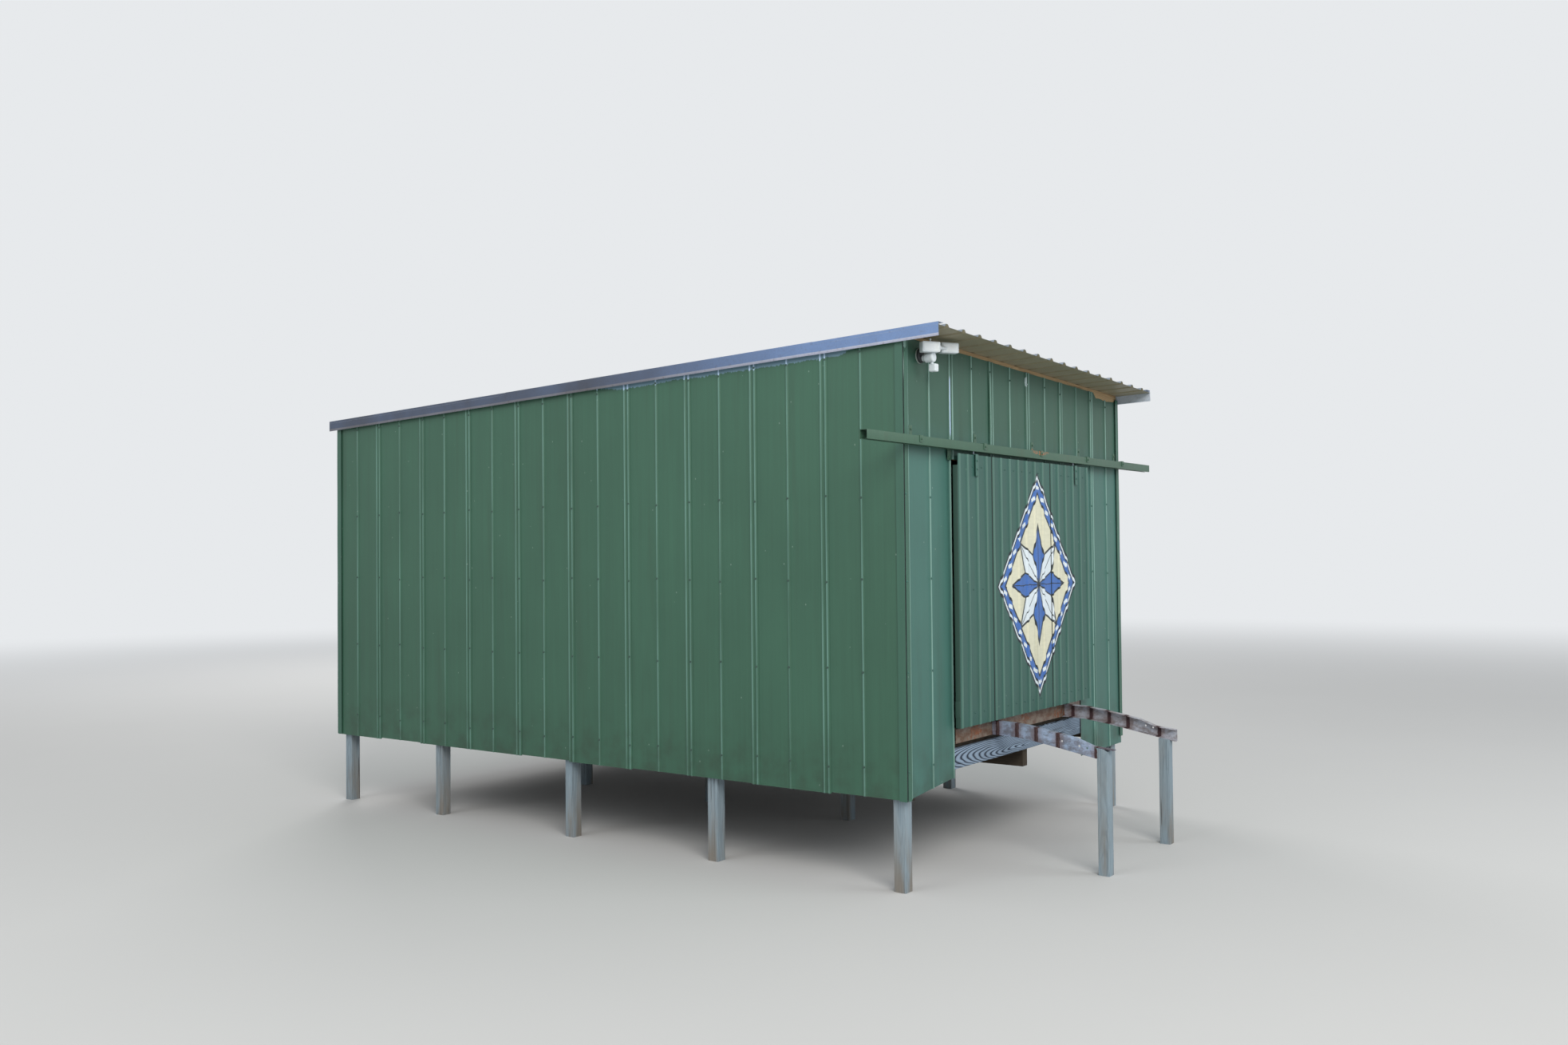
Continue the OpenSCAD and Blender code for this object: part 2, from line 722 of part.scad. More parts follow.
// A folded plate on the door's left edge, near its foot.
edge_bracket_h = 114;
edge_bracket_t = 4;
edge_bracket_lift = 72;
module door_edge_bracket() {
    color(dark_green_paint) at_corner()
        translate([door_x - edge_bracket_t, -door_back - board_t, door_z + edge_bracket_lift])
            cube([edge_bracket_t, board_t, edge_bracket_h]);
}

// The lamp under the eave: a round base, a drum in front of it with a neck up to a bar, which carries two
// heads, and a motion sensor below the drum. Its frame's origin is the centre of the base's front face.
lamp_z = roof_z - lamp_drop;
lamp_base_h = 30;
lamp_boss_d = 44;
lamp_boss_l = 24;
lamp_drum_d = 68;
lamp_drum_l = 68;
lamp_drum_drop = 18;
lamp_neck_d = 22;
lamp_bar = 28;
lamp_head_out = 78;
lamp_head_size = [132, 58, 72];
lamp_head_turn = 35;
lamp_left_head = [-40, 44];
lamp_right_head = [212, 66];
lamp_sensor_size = [50, 54, 54];
lamp_sensor_side = 5;
lamp_sensor_out = 70;
lamp_sensor_neck_d = 20;
lamp_sensor_neck_h = 7;
module at_lamp() {
    at_corner() translate([lamp_x, -sheet_t - lamp_base_h, lamp_z]) children();
}

module lamp_base() {
    color(black_plastic) at_lamp() rotate([-90, 0, 0]) cylinder(d = lamp_base_d, h = lamp_base_h);
}

module lamp_heads() {
    run = lamp_right_head - lamp_left_head;
    color(white_plastic) at_lamp() {
        translate([0, -seat_gap, -lamp_drum_drop]) rotate([90, 0, 0]) {
            cylinder(d = lamp_boss_d, h = lamp_boss_l);
            translate([0, 0, lamp_boss_l]) cylinder(d = lamp_drum_d, h = lamp_drum_l);
        }
        translate([0, -lamp_head_out, -lamp_drum_drop])
            cylinder(d = lamp_neck_d, h = lamp_drum_drop + lamp_left_head[1]);
        translate([lamp_left_head[0], -lamp_head_out - lamp_bar / 2, lamp_left_head[1]])
            rotate([0, -atan2(run[1], run[0]), 0]) translate([0, 0, -lamp_bar / 2])
                cube([norm(run), lamp_bar, lamp_bar]);
        for (head = [lamp_left_head, lamp_right_head]) translate([head[0], -lamp_head_out, head[1]])
            rotate([0, 0, -lamp_head_turn]) cube(lamp_head_size, center = true);
    }
}

module lamp_sensor() {
    neck_top = -lamp_drum_drop - lamp_drum_d / 2 - seat_gap;
    color(white_plastic) at_lamp() translate([0, -lamp_sensor_out, neck_top - lamp_sensor_neck_h]) {
        cylinder(d = lamp_sensor_neck_d, h = lamp_sensor_neck_h);
        translate([-lamp_sensor_side, -lamp_sensor_size[1] / 2, -lamp_sensor_size[2]]) cube(lamp_sensor_size);
    }
}

left_posts();
right_posts();
middle_posts();
left_girder();
right_girder();
middle_girder();
front_rim_joist();
rim_joists();
floor_joists();
floor_deck();
left_girts();
right_girts();
rear_girts();
front_girts();
door_jambs();
door_header();
side_rafters();
middle_rafter();
end_beams();
purlins();
roof_sheets();
left_rake_trim();
right_rake_trim();
left_wall_sheets();
right_wall_sheets();
rear_wall_sheets();
front_left_sheets();
front_right_sheets();
front_upper_sheets();
corner_trims();
sill_channel();
left_ramp_rail();
right_ramp_rail();
left_ramp_post();
right_ramp_post();
door_track();
track_brackets();
lamp_base();
lamp_heads();
lamp_sensor();
door_frame();
door_sheets();
door_hangers();
door_trolleys();
door_edge_bracket();
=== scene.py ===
"""Dresses the boathouse: crimped sheets, sawn timber, bent channel rails, the lamp, the stage, the camera.

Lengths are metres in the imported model's frame: +X to the right along the front wall, +Y to the back, +Z up.
"""

import logging
import math
from collections.abc import Callable
from dataclasses import dataclass, field
from enum import Enum
from functools import cached_property

import bmesh
import bpy
import numpy as np
from mathutils import Matrix, Vector


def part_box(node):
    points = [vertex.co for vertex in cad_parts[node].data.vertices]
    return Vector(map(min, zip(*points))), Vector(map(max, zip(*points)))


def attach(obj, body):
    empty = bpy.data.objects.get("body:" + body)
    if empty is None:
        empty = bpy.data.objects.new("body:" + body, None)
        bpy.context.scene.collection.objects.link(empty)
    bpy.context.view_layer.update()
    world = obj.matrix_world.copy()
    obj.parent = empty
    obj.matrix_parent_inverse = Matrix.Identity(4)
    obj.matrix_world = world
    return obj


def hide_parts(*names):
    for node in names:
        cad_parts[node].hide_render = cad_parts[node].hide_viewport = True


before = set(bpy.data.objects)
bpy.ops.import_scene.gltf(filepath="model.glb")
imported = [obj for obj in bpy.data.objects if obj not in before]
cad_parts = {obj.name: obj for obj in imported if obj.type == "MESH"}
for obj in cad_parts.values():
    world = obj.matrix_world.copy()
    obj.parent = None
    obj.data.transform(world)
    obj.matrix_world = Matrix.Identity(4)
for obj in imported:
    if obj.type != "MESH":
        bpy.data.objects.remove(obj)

logging.basicConfig(level=logging.INFO, format="%(message)s")
log = logging.getLogger("boathouse")

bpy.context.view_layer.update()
FIXED = "building"
MOVING = "door"

Array = np.ndarray
Colour = tuple[float, float, float, float]
Place = tuple[float, float, float]
Pair = tuple[float, float]
Material = bpy.types.Material
Shape = bmesh.types.BMesh


def srgb(red: float, green: float, blue: float) -> Colour:
    """Turns three screen values from 0 to 255 into the linear colour that a shader takes.

    Args:
        red: the red value.
        green: the green value.
        blue: the blue value.

    Returns:
        The colour, with an alpha of 1.
    """
    parts = np.array([red, green, blue], float) / 255.0
    linear = np.where(parts <= 0.04045, parts / 12.92, ((parts + 0.055) / 1.055) ** 2.4)
    return (*[float(v) for v in linear], 1.0)


def joined(x: Array, y: Array, z: Array) -> Array:
    """Joins three coordinates, each spread over the same grid, into an array of places."""
    return np.stack(np.broadcast_arrays(x, y, z), -1)


@dataclass(frozen=True)
class Site:
    """The building's own corner frame and roof plane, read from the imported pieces."""

    x: float
    y: float
    width: float
    length: float
    sheet_bottom: float
    roof_z: float
    fall_back: float = math.radians(1.9)
    fall_right: float = math.radians(1.5)

    @classmethod
    def from_frame(cls) -> "Site":
        """Reads the corner, the size and the roof's height from the frame's boxes.

        Returns:
            The site that the frame holds.
        """
        low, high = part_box("rim_joists")
        return cls(low.x, low.y, high.x - low.x, high.y - low.y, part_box("left_wall_sheets")[0].z,
                   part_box("purlins")[1].z)

    def roof_under(self, x: Array, y: Array) -> Array:
        """Height of the roof sheets' underside at places of the frame.

        Args:
            x: places along the frame's X.
            y: places along the frame's Y.

        Returns:
            The plane's height, which falls with the two slopes from the front left corner.
        """
        across = (x - self.x) * math.tan(self.fall_right)
        back = (y - self.y) * math.tan(self.fall_back) / math.cos(self.fall_right)
        return self.roof_z - across - back

    def on_roof(self, along: Array, back: Array, up: Array) -> Array:
        """Turns places on the roof's own plane into places of the frame.

        Args:
            along: distance to the right of the front left corner, in the plane.
            back: distance to the back of that corner, in the plane.
            up: height over the plane.

        Returns:
            An array of places, turned by the roof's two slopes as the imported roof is.
        """
        turn = np.array(Matrix.Rotation(self.fall_right, 3, "Y") @ Matrix.Rotation(-self.fall_back, 3, "X"))
        return joined(along, back, up) @ turn.T + np.array([self.x, self.y, self.roof_z])


SITE = Site.from_frame()


class Side(Enum):
    """The wall that a run of sheets stands on, with the way it looks."""

    LEFT = (-1, 0, 0)
    RIGHT = (1, 0, 0)
    REAR = (0, 1, 0)
    FRONT = (0, -1, 0)

    def place(self, along: Array, out: Array, height: Array) -> Array:
        """Turns places on this wall into places of the frame.

        Args:
            along: distance from the wall's near or left corner.
            out: distance outwards from the framing.
            height: height over the ground.

        Returns:
            An array with one place for each entry.
        """
        way_x, way_y, _ = self.value
        x = SITE.x + SITE.width * (way_x > 0) + way_x * out + abs(way_y) * along
        y = SITE.y + SITE.length * (way_y > 0) + way_y * out + abs(way_x) * along
        return joined(x, y, height)


# Points and faces.


def grid_quads(rows: int, columns: int, closed: bool = False) -> Array:
    """Numbers the quads of a grid whose points are counted row by row.

    Args:
        rows: number of rows of points.
        columns: number of points in a row.
        closed: True if each row is a ring.

    Returns:
        An array of four point numbers for each quad.
    """
    last = columns if closed else columns - 1
    row, column = np.meshgrid(np.arange(rows - 1), np.arange(last), indexing="ij")
    here = row * columns + column
    right = row * columns + (column + 1) % columns
    return np.stack([here, right, right + columns, here + columns], -1).reshape(-1, 4)


def closed_tube(rows: int, sides: int) -> Array:
    """Numbers the faces of rings that are carried along a line and closed by a fan at each end.

    The points are counted ring by ring, with the first and the last fan's middle after them.

    Args:
        rows: number of rings.
        sides: number of points in a ring.

    Returns:
        An array of four point numbers for each face. A fan's triangles name their last point twice.
    """
    first = np.arange(sides)
    last = first + (rows - 1) * sides
    foot = np.stack([np.full(sides, rows * sides), np.roll(first, -1), first, first], -1)
    tip = np.stack([np.full(sides, rows * sides + 1), last, np.roll(last, -1), np.roll(last, -1)], -1)
    return np.concatenate([grid_quads(rows, sides, True), foot, tip])


def thin_solid(face: Array, back: Array) -> tuple[Array, Array, Array]:
    """Closes two matching grids of points into a thin solid.

    The grids give a sheet's two surfaces. The border of one is joined to the other's by a strip of quads.

    Args:
        face: places of the outer surface, rows by columns by three.
        back: places of the inner surface, of the same shape.

    Returns:
        The points, the quads, and for each quad 0 on the face and border or 1 on the back.
    """
    rows, columns = face.shape[:2]
    count = rows * columns
    points = np.concatenate([face.reshape(-1, 3), back.reshape(-1, 3)])
    front_quads = grid_quads(rows, columns)
    back_quads = front_quads[:, ::-1] + count
    index = np.arange(count).reshape(rows, columns)
    loop = np.concatenate([index[0, :], index[1:, -1], index[-1, -2::-1], index[-2:0:-1, 0]])
    ahead = np.roll(loop, -1)
    border = np.stack([ahead, loop, loop + count, ahead + count], -1)
    quads = np.concatenate([front_quads, border, back_quads])
    inner = (np.arange(len(quads)) >= len(front_quads) + len(border)).astype(int)
    return points, quads, inner


@dataclass
class Mesh:
    """Points, faces and per-point values that are gathered before they become one Blender piece."""

    points: list[Array] = field(default_factory=list)
    faces: list[Array] = field(default_factory=list)
    slots: list[Array] = field(default_factory=list)
    values: dict[str, list[Array]] = field(default_factory=dict)
    count: int = 0

    def add(self, points: Array, faces: Array, slots: Array | int = 0,
            **values: Array) -> None:
        """Adds one more shell.

        Args:
            points: places, one row each.
            faces: four point numbers a face, counted from this shell's first point.
            slots: the finish of each face, or one number for all.
            values: one number or vector for each point, by the attribute's name.
        """
        self.points.append(points)
        self.faces.append(faces + self.count)
        self.slots.append(np.full(len(faces), slots) if np.isscalar(slots) else slots)
        for name, value in values.items():
            self.values.setdefault(name, []).append(value)
        self.count += len(points)

    def add_sheet(self, face: Array, back: Array, slots: Array | int | None = None,
                  **values: Array | float) -> None:
        """Adds a thin sheet.

        Args:
            face: places of the outer surface, rows by columns by three.
            back: places of the inner surface, of the same shape.
            slots: the finish of each face, or None for 0 outside and 1 inside.
            values: numbers that spread over the grid, by the attribute's name.
        """
        points, faces, inner = thin_solid(face, back)
        spread = {name: np.tile(np.broadcast_to(value, face.shape[:2]).ravel(), 2)
                  for name, value in values.items()}
        self.add(points, faces, inner if slots is None else slots, **spread)

    def piece(self, name: str, finishes: list[Material], sharp: float = 40.0) -> bpy.types.Object:
        """Makes the Blender piece.

        Args:
            name: the piece's name.
            finishes: its materials, in the order of the slots.
            sharp: edges that turn by more than this many degrees stay sharp.

        Returns:
            The new object, at the origin.
        """
        mesh = bpy.data.meshes.new(name)
        points = np.concatenate(self.points)
        faces = np.concatenate(self.faces)
        mesh.from_pydata(points.tolist(), [], [list(dict.fromkeys(f)) for f in faces.tolist()])
        for material in finishes:
            mesh.materials.append(material)
        mesh.polygons.foreach_set("material_index", np.concatenate(self.slots).astype(np.int32))
        for key, parts in self.values.items():
            store(mesh, key, np.concatenate(parts))
        shape = bmesh.new()
        shape.from_mesh(mesh)
        bmesh.ops.recalc_face_normals(shape, faces=shape.faces)
        shape.to_mesh(mesh)
        shape.free()
        finish_shading(mesh, sharp)
        return link_object(name, mesh)


def store(mesh: bpy.types.Mesh, name: str, data: Array) -> None:
    """Stores one number or one vector for each point of a mesh, as an attribute.

    Args:
        mesh: the mesh.
        name: the attribute's name.
        data: one row for each point.
    """
    kind, field_name = ("FLOAT_VECTOR", "vector") if data.ndim == 2 else ("FLOAT", "value")
    layer = mesh.attributes.new(name, kind, "POINT")
    layer.data.foreach_set(field_name, data.astype(np.float32).ravel())


def finish_shading(mesh: bpy.types.Mesh, sharp: float) -> None:
    """Shades a mesh smooth except at edges that turn by more than the given number of degrees.

    Args:
        mesh: the mesh.
        sharp: that number of degrees.
    """
    mesh.polygons.foreach_set("use_smooth", np.ones(len(mesh.polygons), bool))
    mesh.set_sharp_from_angle(angle=math.radians(sharp))
    mesh.update()


def link_object(name: str, data: bpy.types.ID) -> bpy.types.Object:
    """Makes an object at the origin and links it to the scene.

    Args:
        name: the object's name.
        data: its mesh, light or camera.

    Returns:
        The new object.
    """
    made = bpy.data.objects.new(name, data)
    bpy.context.scene.collection.objects.link(made)
    return made


def settle(piece: bpy.types.Object, body: str, slot: str, *nodes: str) -> None:
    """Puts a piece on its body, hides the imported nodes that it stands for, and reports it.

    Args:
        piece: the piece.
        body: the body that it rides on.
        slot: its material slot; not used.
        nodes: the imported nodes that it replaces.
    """
    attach(piece, body)
    if nodes:
        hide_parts(*nodes)
    triangles = sum(len(p.vertices) - 2 for p in piece.data.polygons)
    log.info("%s: %d triangles on %s", piece.name, triangles, body)


def ripple(a: Array, b: Array, seed: float) -> Array:
    """A smooth field between -1 and 1 that never repeats over the building.

    It is a weighted sum of three products of sines in the two directions.

    Args:
        a: places in one direction.
        b: places in the other.
        seed: shifts the sines.

    Returns:
        The field's value at each place.
    """
    first = np.sin(5.1 * a + 1.3 * seed) * np.sin(2.7 * b + 0.7 * seed)
    second = np.sin(11.3 * a + 2.9 * seed + 0.8 * b) * np.sin(6.1 * b + 1.9 * seed)
    third = np.sin(2.1 * a + 4.1 * b + seed)
    return 0.45 * first + 0.25 * second + 0.3 * third


@dataclass(frozen=True)
class Lathe:
    """A turned shape: an outline of distances from an axis and places along it."""

    foot: Place
    axis: Place
    outline: tuple[Pair, ...]
    sides: int = 40

    def shell(self) -> tuple[Array, Array]:
        """Turns the outline about its axis.

        A point of the surface is the foot, plus the outline's place along the axis, plus its distance times
        the cosine and the sine of the turn along two directions square to the axis.

        Returns:
            The points and the faces, closed by a fan at each end.
        """
        axis = np.array(self.axis, float)
        axis /= np.linalg.norm(axis)
        helper = np.array([0.0, 0.0, 1.0]) if abs(axis[2]) < 0.9 else np.array([1.0, 0.0, 0.0])
        first = np.cross(helper, axis)
        first /= np.linalg.norm(first)
        second = np.cross(axis, first)
        turn = np.linspace(0, 2 * np.pi, self.sides, endpoint=False)[:, None]
        ring = np.cos(turn) * first + np.sin(turn) * second
        radius, along = np.array(self.outline).T[:, :, None, None]
        points = radius * ring + along * axis
        hubs = along[[0, -1], 0] * axis
        points = np.concatenate([points.reshape(-1, 3), hubs]) + np.array(self.foot)
        return points, closed_tube(len(self.outline), self.sides)

    def add_to(self, mesh: Mesh, slot: int = 0) -> None:
        """Adds the turned shape to a mesh."""
        mesh.add(*self.shell(), slot)


# Shader graphs.


@dataclass(frozen=True)
class Value:
    """A number, vector or colour of a shader graph, which takes plus, minus and times like a number."""

    graph: "Graph"
    socket: bpy.types.NodeSocket

    def __add__(self, other: "Value | float") -> "Value":
        """The sum."""
        return self.graph.math("ADD", self, other)

    def __sub__(self, other: "Value | float") -> "Value":
        """The difference."""
        return self.graph.math("SUBTRACT", self, other)

    def __rsub__(self, other: float) -> "Value":
        """A plain number less this one."""
        return self.graph.math("SUBTRACT", other, self)

    def __mul__(self, other: "Value | float") -> "Value":
        """The product."""
        return self.graph.math("MULTIPLY", self, other)


Number = Value | float
Tint = Value | Colour


class Graph:
    """A material's node tree, with short methods for the nodes that the finishes are made of."""

    def __init__(self, name: str) -> None:
        """Starts an empty material with its surface shader.

        Args:
            name: the material's name.
        """
        self.material = bpy.data.materials.new(name)
        self.material.use_nodes = True
        self.tree = self.material.node_tree
        self.tree.nodes.clear()
        self.shader = self.node("BsdfPrincipled")
        self.output = self.node("OutputMaterial")
        self.tree.links.new(self.shader.outputs[0], self.output.inputs[0])

    def feed(self, socket: bpy.types.NodeSocket, value: Number | Tint | Place) -> None:
        """Links a socket to another node's output, or sets its own value.

        Args:
            socket: the socket.
            value: what it takes.
        """
        if isinstance(value, Value):
            self.tree.links.new(value.socket, socket)
        else:
            socket.default_value = value

    def node(self, kind: str, **values: Number | Tint | Place) -> bpy.types.Node:
        """Adds a node of one kind, and feeds its inputs, named with underscores.

        Args:
            kind: the node's kind.
            values: what its inputs take.

        Returns:
            The new node.
        """
        node = self.tree.nodes.new("ShaderNode" + kind)
        for name, value in values.items():
            self.feed(node.inputs[name.replace("_", " ")], value)
        return node

    def set(self, **values: Number | Tint) -> None:
        """Feeds the surface shader's sockets, named with underscores."""
        for name, value in values.items():
            self.feed(self.shader.inputs[name.replace("_", " ")], value)

    @cached_property
    def at(self) -> Value:
        """The piece's own coordinates, in metres."""
        return Value(self, self.node("TexCoord").outputs["Object"])

    @cached_property
    def axes(self) -> tuple[Value, ...]:
        """The piece's own x, y and z."""
        return self.parts(self.at)

    def attribute(self, name: str, vector: bool = False) -> Value:
        """A value that the piece stores at its points.

        Args:
            name: the name under which it is stored.
            vector: True where it is a vector.

        Returns:
            The stored value.
        """
        node = self.node("Attribute")
        node.attribute_name = name
        return Value(self, node.outputs["Vector" if vector else "Fac"])

    def apply(self, kind: str, operation: str, *inputs: Number | Tint | Place) -> bpy.types.Node:
        """Adds a node that does one operation on its first inputs.

        Args:
            kind: the kind of node.
            operation: the operation's name.
            inputs: what the first sockets are fed with.

        Returns:
            The node.
        """
        node = self.node(kind)
        node.operation = operation
        for socket, value in zip(node.inputs, inputs):
            self.feed(socket, value)
        return node

    def math(self, operation: str, a: Number, b: Number = 0.0) -> Value:
        """One arithmetic step on two numbers."""
        return Value(self, self.apply("Math", operation, a, b).outputs[0])

    def scaled(self, vector: Value, scale: Place) -> Value:
        """A vector multiplied by three numbers."""
        return Value(self, self.apply("VectorMath", "MULTIPLY", vector, scale).outputs[0])

    def length(self, vector: Value) -> Value:
        """The length of a vector."""
        return Value(self, self.apply("VectorMath", "LENGTH", vector).outputs["Value"])

    def parts(self, vector: Value) -> tuple[Value, ...]:
        """The three numbers of a vector."""
        node = self.node("SeparateXYZ", Vector=vector)
        return tuple(Value(self, socket) for socket in node.outputs)

    def noise(self, at: Value, scale: float, detail: float = 3.0, rough: float = 0.55) -> Value:
        """A cloudy pattern from 0 to 1."""
        node = self.node("TexNoise", Vector=at, Scale=scale, Detail=detail, Roughness=rough)
        return Value(self, node.outputs[0])

    def cells(self, at: Value, scale: float, colour: bool = False) -> Value:
        """Distance to scattered centres, or a value that is the same all over each cell."""
        node = self.node("TexVoronoi", Vector=at, Scale=scale)
        return Value(self, node.outputs["Color" if colour else "Distance"])

    def step(self, value: Value, low: float, high: float) -> Value:
        """A smooth step.

        Args:
            value: the number that passes from low to high.
            low: where the step is 0.
            high: where the step is 1, which may lie under low.

        Returns:
            The step.
        """
        node = self.node("MapRange", Value=value, From_Min=min(low, high), From_Max=max(low, high),
                         To_Min=float(low > high), To_Max=float(low <= high))
        node.interpolation_type = "SMOOTHSTEP"
        return Value(self, node.outputs[0])

    def blend(self, factor: Number, a: Tint, b: Tint) -> Value:
        """Mixes two colours.

        Args:
            factor: the share of b.
            a: the colour at 0.
            b: the colour at 1.

        Returns:
            The mixed colour.
        """
        node = self.node("Mix")
        node.data_type = "RGBA"
        for socket, value in ((0, factor), (6, a), (7, b)):
            self.feed(node.inputs[socket], value)
        return Value(self, node.outputs[2])

    def shade(self, colour: Tint, value: Value) -> Value:
        """A colour multiplied by a number.

        Args:
            colour: the colour.
            value: the number.

        Returns:
            The shaded colour.
        """
        node = self.apply("VectorMath", "SCALE", colour[:3] if isinstance(colour, tuple) else colour)
        self.feed(node.inputs["Scale"], value)
        return Value(self, node.outputs[0])

    def between(self, value: Value, low: float, high: float) -> Value:
        """Stretches a number from 0 to 1 over the range from low to high."""
        return value * (high - low) + low

    def relief(self, height: Value, depth: float, strength: float = 1.0) -> None:
        """Raises the surface by height times depth, in metres, as fine relief."""
        node = self.node("Bump", Strength=strength, Distance=depth, Height=height)
        self.tree.links.new(node.outputs[0], self.shader.inputs["Normal"])


GREEN_STAIN = srgb(46, 62, 50)
# Painted eave shade: the darker, greener tone laid near the top of the front walls.
EAVE_SHADE_GREEN = srgb(44, 80, 61)


@dataclass(frozen=True)
class Paint:
    """Satin paint on metal, faded, streaked by rain and worn on its crests, with a painted highlight on the
    crests and, where set, painted shade under the eave.
    """

    name: str
    base: Colour
    crest: Colour
    stain: Colour = GREEN_STAIN
    foot: float = 0.0
    bare_at: Place | None = None
    peeled_at: Pair | None = None
    rust_at: Pair | None = None
    bare_top: Pair | None = None
    eave_shade_from: float | None = None
    crest_wear_and_highlight: float = 0.6
    star: bool = False

    def make(self) -> Material:
        """Builds the finish: clouds, rain streaks, painted eave shade, worn crests with a painted highlight,
        painted seam shade, chalk spots, rust specks and dirt.

        Returns:
            The material.
        """
        g = Graph(self.name)
        at, z = g.at, g.axes[2]
        clouds = g.noise(at, 1.1, 4.0)
        streaks = g.noise(g.scaled(at, (38.0, 38.0, 0.9)), 1.0, 4.0, 0.6)
        wide = g.noise(g.scaled(at, (7.0, 7.0, 0.5)), 1.0, 3.0)
        tone = g.between(clouds, 0.78, 1.12) + g.between(streaks, -0.13, 0.15)
        tone += g.between(wide, -0.09, 0.1)
        colour = g.shade(self.base, tone)
        # Painted shade under the eave: the paint turns darker and greener towards the top.
        if self.eave_shade_from is not None:
            level = z + g.between(wide, -0.15, 0.15)
            painted_eave_shade = g.step(level, self.eave_shade_from - 0.15, self.eave_shade_from + 0.2)
            colour = g.blend(painted_eave_shade * 0.8, colour, g.shade(EAVE_SHADE_GREEN, tone))
        crest = g.attribute("crest")
        # Lighter crests: worn paint, and a painted highlight along the crimps.
        wear_and_highlight = g.step(crest, 0.35, 0.85) * g.step(streaks, 0.22, 0.62)
        colour = g.blend(wear_and_highlight * self.crest_wear_and_highlight, colour, self.crest)
        if self.star:
            colour = DoorPattern().paint(g, colour)
            # Painted shade: the door sheets darken to near black at their seams, where the crest value is
            # negative.
            colour = g.blend(g.step(crest, -0.3, -0.9), colour, srgb(22, 32, 30))
        grime = g.step(wide, 0.52, 0.78) * 0.3
        colour = g.blend(grime, colour, self.stain)
        if self.foot:
            near = g.step(z, self.foot + 0.55, self.foot)
            dirt = near * g.step(g.noise(at, 6.0, 5.0), 0.35, 0.75)
            colour = g.blend(dirt * 0.55, colour, self.stain)
        chalk = g.step(g.cells(g.scaled(at, (1.0, 1.0, 0.7)), 9.0), 0.050, 0.030)
        colour = g.blend(chalk * 0.3, colour, srgb(168, 188, 178))
        specks = g.step(g.cells(at, 17.0), 0.045, 0.02)
        patchy = g.step(g.noise(at, 2.2, 2.0), 0.52, 0.62)
        colour = g.blend(specks * patchy * 0.8, colour, srgb(92, 60, 42))
        if self.bare_top:
            colour = self.bare_band(g, g.step(crest, 0.3, 0.9), colour)
        if self.bare_at:
            colour = self.bare_streak(g, colour)
        if self.peeled_at:
            peeled = self.spot(g, self.peeled_at, (0.017, 0.040))
            colour = g.blend(peeled, colour, srgb(176, 196, 196))
        if self.rust_at:
            flecks = g.step(g.noise(at, 60.0, 4.0), 0.47, 0.58)
            rusty = self.spot(g, self.rust_at, (0.15, 0.028)) * flecks
            colour = g.blend(rusty, colour, srgb(146, 100, 66))
        g.set(Base_Color=colour, Roughness=g.between(streaks, 0.38, 0.56), Specular_IOR_Level=0.42)
        peel = g.noise(at, 160.0, 2.0) * 0.35 + streaks * 0.65
        g.relief(peel, 0.0012, 0.35)
        return g.material

    def spot(self, g: Graph, middle: Pair, half: Pair) -> Value:
        """A soft oval mask: the sum of the squared distances over the squared half sizes, 1 at its edge.

        Args:
            g: the material's graph.
            middle: the oval's middle, as x and z.
            half: its half width and half height.

        Returns:
            The mask.
        """
        across = (g.axes[0] - middle[0]) * (1 / half[0])
        up = (g.axes[2] - middle[1]) * (1 / half[1])
        return g.step(across * across + up * up, 1.15, 0.75)

    def bare_band(self, g: Graph, crest: Value, colour: Value) -> Value:
        """Leaves the sheets' top bare under the rake trim, down to a ragged edge that dips at the crests.

        Args:
            g: the material's graph.
            crest: 1 on the ridges' crests and 0 beside them.
            colour: the colour so far.

        Returns:
            The new colour.
        """
        start, end = self.bare_top
        ragged = g.noise(g.scaled(g.at, (60.0, 60.0, 12.0)), 1.0, 4.0, 0.7)
        clouds = g.noise(g.scaled(g.at, (3.0, 3.0, 0.5)), 1.0, 2.0)
        depth = g.between(ragged, 0.068, 0.118) + g.between(clouds, -0.015, 0.02) + crest * 0.014
        depth -= g.step(g.axes[1], start + 0.16, start) * 0.045
        depth -= g.step(g.axes[1], end - 0.5, end) * 0.05
        over = depth - g.attribute("below")
        # Painted highlight: the bare zinc is paler on the crests than beside them.
        zinc = g.blend(crest, srgb(104, 136, 152), srgb(172, 198, 224))
        return g.blend(g.step(over, 0.0, 0.004), colour, zinc)

    def bare_streak(self, g: Graph, colour: Value) -> Value:
        """Lets bare zinc show along one crest, from a low to a high level.

        Args:
            g: the material's graph.
            colour: the colour so far.

        Returns:
            The new colour.
        """
        x, _, z = g.axes
        place, low, high = self.bare_at
        off = g.math("ABSOLUTE", x - place)
        line = g.step(off, 0.0065, 0.0035) * g.step(z, low, low + 0.04)
        line *= g.step(z, high, high - 0.04)
        ragged = g.step(g.noise(g.scaled(g.at, (60.0, 60.0, 9.0)), 1.0, 3.0), 0.30, 0.42)
        return g.blend(line * ragged, colour, srgb(186, 208, 236))


